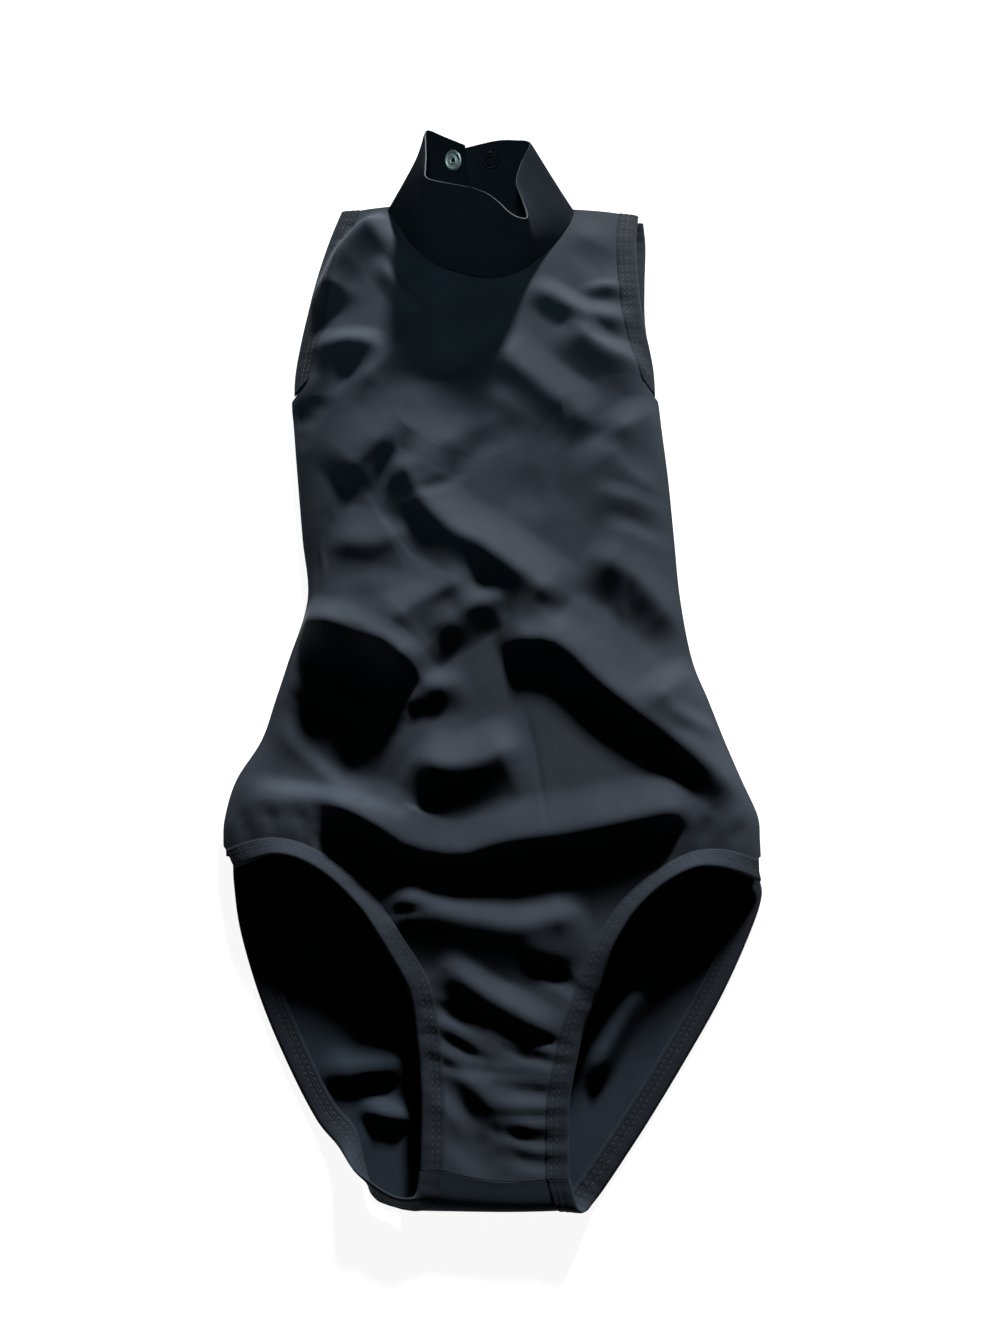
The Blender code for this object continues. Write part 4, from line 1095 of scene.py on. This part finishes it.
@dataclass(frozen=True)
class Collar:
    """The standing collar, a doubled band that is open at the centre back."""

    columns: int = 260
    levels: int = 24
    wall: float = COLLAR_WALL
    length: float = 236.0
    tall: float = 45.0
    edge_round: float = 0.9
    edge_thinness: float = 0.30
    allowance: float = 0.12
    back_seam_y: float = 526.0
    back_seam_z: float = 3.4

    def place(self, column: np.ndarray, height: np.ndarray) -> np.ndarray:
        """Points of the collar: straight lines from the neck seam to the rim.

        Args:
            column: Share of the collar's length.
            height: Share of its height.

        Returns:
            The points.
        """
        rows = between_rows(COLLAR, RISE_STEPS)
        at = np.linspace(0.0, 1.0, len(rows))
        both = np.column_stack([np.interp(column, at, line) for line in rows.T])
        return both[:, :3] + (both[:, 3:] - both[:, :3]) * np.reshape(height, (-1, 1))

    def build(self, cloth: bpy.types.Material, crease: bpy.types.Material) -> bpy.types.Object:
        """Builds the band. Its half thickness falls at the rim and at both ends as a quarter circle, and its
        lower edge reaches on past the seam where the seam stands high over the back.

        Args:
            cloth: The collar's cloth.
            crease: The lighter satin for the faces along the rim, a painted highlight on the rim.

        Returns:
            The collar.
        """
        column = np.linspace(0.0, 1.0, self.columns + 1)
        level = np.linspace(0.0, 1.0, self.levels + 1)
        column, level = (a.ravel() for a in np.meshgrid(column, level, indexing="ij"))
        seam = self.place(column, np.zeros_like(column))
        over_back = np.clip((seam[:, 2] - self.back_seam_z) / 2.0, 0.0, 1.0)
        over_back *= np.clip((seam[:, 1] - self.back_seam_y) / 1.5, 0.0, 1.0)
        middle = self.place(column, level - self.allowance * over_back * (1 - level))
        to_edge = np.minimum(np.minimum(column, 1 - column) * self.length, (1 - level) * self.tall)
        edge = np.clip(1.0 - to_edge / self.edge_round, 0.0, 1.0)
        half = self.wall / 2 * np.sqrt(np.maximum(1.0 - edge**2, self.edge_thinness))
        plan = np.column_stack([column * self.length, level * self.tall])
        faces = grid_faces(self.columns + 1, self.levels + 1)
        band = cloth_wall("collar_cloth", middle, faces, half, plan, cloth)
        # The faces along the rim take the lighter satin: a painted highlight on the rim.
        band.data.materials.append(crease)
        heights = np.empty(8 * len(band.data.polygons))
        band.data.uv_layers["cloth"].data.foreach_get("uv", heights)
        on_rim = heights.reshape(-1, 4, 2)[..., 1].mean(1) > (self.tall - 0.1) * MM
        band.data.polygons.foreach_set("material_index", on_rim.astype(np.int32))
        return band


@dataclass(frozen=True)
class StitchRow:
    """A row of equal stitches laid along a path on the cloth."""

    name: str
    length: float = 2.3
    pitch: float = 2.9
    width: float = 0.32
    rise: float = 0.16

    def build(self, paths: list, thread: bpy.types.Material) -> bpy.types.Object:
        """Builds every stitch of the paths: a six-sided capsule whose radius follows a half circle along it.

        Args:
            paths: For each path, its points and the cloth's normals there.
            thread: The thread.

        Returns:
            All the stitches as one object.
        """
        along = np.array([-1.0, -0.8, -0.3, 0.3, 0.8, 1.0])
        girth = np.array([0.15, 0.75, 1.0, 1.0, 0.75, 0.15])
        turn = np.linspace(0.0, 2 * math.pi, 6, endpoint=False)
        unit = np.stack(np.broadcast_arrays(
            along[:, None], girth[:, None] * np.cos(turn), girth[:, None] * np.sin(turn)), -1).reshape(-1, 3)
        ring = np.arange(36).reshape(6, 6)
        onward = np.roll(ring, -1, 1)
        body = np.stack([ring[:-1], onward[:-1], onward[1:], ring[1:]], -1).reshape(-1, 4)
        caps = np.array([[0, 3, 2, 1], [0, 5, 4, 3], [30, 31, 32, 33], [30, 33, 34, 35]])
        unit_faces = np.vstack([body, caps])
        points, plans = [], []
        for path, normal in paths:
            way = np.concatenate([[0.0], np.cumsum(np.linalg.norm(np.diff(path, axis=0), axis=1))])
            number = max(int(way[-1] / self.pitch), 1)
            at = (np.arange(number) + 0.5) * way[-1] / number
            centre, up, ahead, behind = (
                np.column_stack([np.interp(place, way, line) for line in table.T])
                for place, table in ((at, path), (at, normal), (at + 0.5, path), (at - 0.5, path))
            )
            tangent = ahead - behind
            tangent /= np.linalg.norm(tangent, axis=1)[:, None]
            side = np.cross(up, tangent)
            side /= np.linalg.norm(side, axis=1)[:, None]
            up = np.cross(tangent, side)
            centre = centre + up * self.rise * 0.3
            points.append(
                centre[:, None]
                + tangent[:, None] * unit[None, :, :1] * self.length / 2
                + side[:, None] * unit[None, :, 1:2] * self.width / 2
                + up[:, None] * unit[None, :, 2:] * self.rise
            )
            plans.append(np.stack(np.broadcast_arrays(
                at[:, None] + unit[None, :, 0] * self.length / 2, unit[None, :, 1] * self.width), -1))
        points, plans = (np.vstack(group).reshape(-1, k) for group, k in ((points, 3), (plans, 2)))
        number = len(points) // 36
        faces = (unit_faces[None] + 36 * np.arange(number)[:, None, None]).reshape(-1, 4)
        return add_piece(self.name, points, faces, plans, thread)


@dataclass(frozen=True)
class Snap:
    """One visible face of the snap: which place of the collar it sits on, and its turned profile."""

    node: str
    column: float
    level: float
    radius: float
    hole: float
    sides: int = 48

    def build(self, collar: Collar, metal: bpy.types.Material) -> bpy.types.Object:
        """Turns the profile round an axis square to the collar: rolled rim, dished web and raised socket.

        Args:
            collar: The collar that carries it.
            metal: Its metal.

        Returns:
            The snap's face.
        """
        step = 0.02
        places = collar.place(
            np.array([self.column, self.column + step, self.column]),
            np.array([self.level, self.level, self.level + step]),
        )
        along = places[1] - places[0]
        along /= np.linalg.norm(along)
        out = -np.cross(along, places[2] - places[0])
        out /= np.linalg.norm(out)
        over = np.cross(out, along)
        base = places[0] + out * (COLLAR_WALL / 2 - 0.1)
        bend = np.linspace(0.0, math.pi, 7)
        rim = np.column_stack([self.radius - 0.8 + 0.8 * np.cos(bend), 0.35 + 0.75 * np.sin(bend)])
        web = np.array([[self.radius - 1.9, 0.30], [self.hole + 1.5, 0.30]])
        bend = np.linspace(0.0, math.pi, 6)
        socket = np.column_stack([self.hole + 0.65 + 0.65 * np.cos(bend), 0.35 + 0.85 * np.sin(bend)])
        profile = np.vstack([[[self.radius, 0.0]], rim, web, socket, [[self.hole, 0.0]]])
        turn = np.linspace(0.0, 2 * math.pi, self.sides, endpoint=False)
        spoke = np.cos(turn)[:, None] * along + np.sin(turn)[:, None] * over
        points = base + profile[:, None, :1] * spoke[None] + profile[:, None, 1:] * out
        index = np.arange(len(profile) * self.sides).reshape(len(profile), self.sides)
        onward = np.roll(index, -1, axis=0)
        faces = np.stack([index, np.roll(index, -1, 1), np.roll(onward, -1, 1), onward], -1).reshape(-1, 4)
        plan = np.stack(np.broadcast_arrays(turn * self.radius, profile[:, 1:]), -1).reshape(-1, 2)
        return add_piece(f"{self.node}_turned", points.reshape(-1, 3), faces, plan, metal)


@dataclass(frozen=True)
class Table:
    """The plain pale surface under the leotard."""

    side: float = 6.0
    tone: tuple = (0.34, 0.34, 0.342)
    glow: float = 0.93
    drop: float = 0.0002

    def build(self) -> bpy.types.Object:
        """Builds the table's top as one flat square just under the cloth.

        Returns:
            The table's top.
        """
        reach = self.side / 2
        mesh = bpy.data.meshes.new("table_top")
        ways = ((-1, -1), (1, -1), (1, 1), (-1, 1))
        corners = [(reach * x, reach * y, -self.drop) for x, y in ways]
        mesh.from_pydata(corners, [], [(0, 1, 2, 3)])
        make = Nodes("pale_table")
        speckle = make.add("ShaderNodeTexNoise", Scale=30.0, Detail=3.0)
        make.link(make.add("ShaderNodeTexCoord").outputs["Object"], speckle.inputs["Vector"])
        lower = tuple(0.985 * channel for channel in self.tone)
        colour = make.ramp(speckle.outputs["Fac"], (0.3, lower), (0.7, self.tone))
        make.link(colour, make.shader.inputs["Base Color"])
        make.shader.inputs["Roughness"].default_value = 0.9
        make.shader.inputs["Emission Color"].default_value = (1.0, 1.0, 1.0, 1.0)
        make.shader.inputs["Emission Strength"].default_value = self.glow
        mesh.materials.append(make.material)
        top = bpy.data.objects.new("table_top", mesh)
        bpy.context.scene.collection.objects.link(top)
        return top


@dataclass(frozen=True)
class StudioLight:
    """A low key light from beyond the collar, a soft spot over the collar, and a weak even fill."""

    azimuth: float = 12.0
    elevation: float = 14.5
    distance: float = 9.0
    size: float = 0.95
    power: float = 3500.0
    spot_place: tuple = (-0.02, -0.12, 0.98)
    spot_aim: tuple = (-0.01, 0.215, 0.02)
    spot_cone: float = 17.0
    spot_power: float = 36.0
    spot_size: float = 0.15
    spot_tone: tuple = (0.62, 0.93, 1.0)
    fill: float = 0.012
    fill_tone: tuple = (0.93, 0.96, 1.0)

    def build(self) -> None:
        """Sets up the two lights and the world's fill."""
        turn, rise = math.radians(self.azimuth), math.radians(self.elevation)
        way = Vector((math.sin(turn) * math.cos(rise), math.cos(turn) * math.cos(rise), math.sin(rise)))
        key = bpy.data.lights.new("key_light", "AREA")
        key.shape = "DISK"
        key.size = self.size
        key.energy = self.power
        spot = bpy.data.lights.new("collar_light", "SPOT")
        spot.spot_size = math.radians(self.spot_cone)
        spot.spot_blend = 1.0
        spot.shadow_soft_size = self.spot_size
        spot.energy = self.spot_power
        spot.color = self.spot_tone
        place = Vector(self.spot_place)
        aimed = ((key, way * self.distance, way), (spot, place, place - Vector(self.spot_aim)))
        for lamp, at, towards in aimed:
            light = bpy.data.objects.new(lamp.name, lamp)
            light.location = at
            light.rotation_euler = towards.to_track_quat("Z", "Y").to_euler()
            bpy.context.scene.collection.objects.link(light)
        world = bpy.data.worlds.new("studio")
        world.use_nodes = True
        world.node_tree.nodes["Background"].inputs["Color"].default_value = (*self.fill_tone, 1.0)
        world.node_tree.nodes["Background"].inputs["Strength"].default_value = self.fill
        bpy.context.scene.world = world


@dataclass(frozen=True)
class PhotoCamera:
    """The camera over the lower half of the garment, tipped towards the collar."""

    place: tuple = (1.5, 119.5, 516.0)
    tilt: float = 15.0
    focal_share: float = 1026.0 / 1333.0

    def build(self) -> None:
        """Makes the camera and sets it as the scene's."""
        lens = bpy.data.cameras.new("photo_camera")
        lens.sensor_width = 36.0
        lens.sensor_fit = "AUTO"
        lens.lens = 36.0 * self.focal_share
        lens.dof.use_dof = False
        camera = bpy.data.objects.new("photo_camera", lens)
        camera.location = Vector(self.place) * MM - Vector((MIDDLE_X, MIDDLE_Y, 0.0)) * MM
        camera.rotation_euler = (math.radians(self.tilt), 0.0, 0.0)
        bpy.context.scene.collection.objects.link(camera)
        bpy.context.scene.camera = camera


@dataclass(frozen=True)
class Leotard:
    """The whole garment."""

    form: FrontForm = FrontForm()

    def hems(self) -> list:
        """The eight stretches of hem.

        Returns:
            The hems, leg first.
        """
        form, front, back = self.form, Half.FRONT, Half.BACK
        return [
            Hem("leg_hem_front_left", front, LEG_FRONT_LEFT, LEG_HEM_WIDTH, 151, form, True),
            Hem("leg_hem_front_right", front, LEG_FRONT_RIGHT, LEG_HEM_WIDTH, 151, form, False),
            Hem("leg_hem_back_left", back, LEG_BACK_LEFT, LEG_HEM_WIDTH, 12, form, True),
            Hem("leg_hem_back_right", back, LEG_BACK_RIGHT, LEG_HEM_WIDTH, 12, form, False),
            Hem("armhole_hem_front_left", front, ARM_FRONT_LEFT, ARM_HEM_WIDTH, 91, form, False),
            Hem("armhole_hem_front_right", front, ARM_FRONT_RIGHT, ARM_HEM_WIDTH, 91, form, True),
            Hem("armhole_hem_back_left", back, ARM_BACK_LEFT, ARM_HEM_WIDTH, 16, form, False),
            Hem("armhole_hem_back_right", back, ARM_BACK_RIGHT, ARM_HEM_WIDTH, 16, form, True),
        ]

    def build(self) -> None:
        """Builds every piece, and says which CAD piece it stands for."""
        finishes = (BLACK_SATIN, INSIDE_SATIN, HEM_SATIN, COLLAR_SATIN_PAINTED_SHADE, RIM_PAINTED_HIGHLIGHT, ThreadFinish(),
                    SILVER_SNAP, BLACK_SNAP)
        satin, inside, hem_cloth, collar_cloth, crease, thread, silver, dark = (
            finish.material() for finish in finishes)

        front = FrontPanel(self.form).build(satin)
        self.stand_for(front, "front_panel", "front_cloth")
        back = BackPanel(self.form).build(inside)
        self.stand_for(back, "back_panel", "back_cloth")
        # collar_cloth is the darker collar satin: painted shade.
        collar = Collar()
        # crease is the lighter rim satin: a painted highlight along the collar's rim.
        band = collar.build(collar_cloth, crease)
        self.stand_for(band, "collar", "collar_cloth")

        bands, rows = {Half.FRONT: [], Half.BACK: []}, {Half.FRONT: [], Half.BACK: []}
        for hem in self.hems():
            piece = hem.build(hem_cloth)
            self.stand_for(piece, hem.node, "hem_cloth")
            bands[hem.half_of].append(piece)
            rows[hem.half_of] += self.stitch_paths(hem)
        stitches = {}
        for half, paths in rows.items():
            stitches[half] = StitchRow(f"{half.value}_hem_stitches").build(paths, thread)
            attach(stitches[half], "root")

        for snap, metal, slot in (
            (Snap("snap_ring_left", 0.030, 0.735, 5.4, 1.1), silver, "snap_metal"),
            (Snap("snap_socket_right", 0.900, 0.770, 4.9, 1.6), dark, "snap_dark"),
        ):
            piece = snap.build(collar, metal)
            self.stand_for(piece, snap.node, slot)
        for node, metal in (("snap_stud_left", silver), ("snap_cap_right", dark)):
            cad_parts[node].material_slots[0].material = metal

    @staticmethod
    def stand_for(piece: bpy.types.Object, node: str, slot: str) -> None:
        """Puts a piece in the place of its CAD solid.

        Args:
            piece: The new piece.
            node: The CAD node that it replaces.
            slot: The record's material slot. It is not used.
        """
        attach(piece, "root")
        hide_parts(node)
        log.info("%s: %d faces, for %s", piece.name, len(piece.data.polygons), node)

    @staticmethod
    def stitch_paths(hem: Hem) -> list:
        """The two rows of stitches on a hem's outer face, or on its inner face on the back panel.

        Args:
            hem: The hem.

        Returns:
            For each row, its points and the cloth's normals there.
        """
        middle = hem.sections()
        share = hem.share
        if hem.turned:
            middle = middle[::-1]
        count, levels = middle.shape[:2]
        normal = point_normals(middle.reshape(-1, 3), grid_faces(count, levels)).reshape(middle.shape)
        paths = []
        for row in STITCH_ROWS:
            level = int(np.abs(share - row).argmin())
            paths.append((middle[:, level] + normal[:, level] * (hem.wall / 2 - 0.12), normal[:, level]))
        return paths


def main() -> None:
    """Builds the leotard, the table, the light and the camera."""
    logging.basicConfig(level=logging.INFO, format="%(message)s")
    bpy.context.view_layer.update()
    Leotard().build()
    Table().build()
    StudioLight().build()
    PhotoCamera().build()
    bpy.context.scene.view_settings.view_transform = "Standard"


if __name__ == "__main__":
    main()
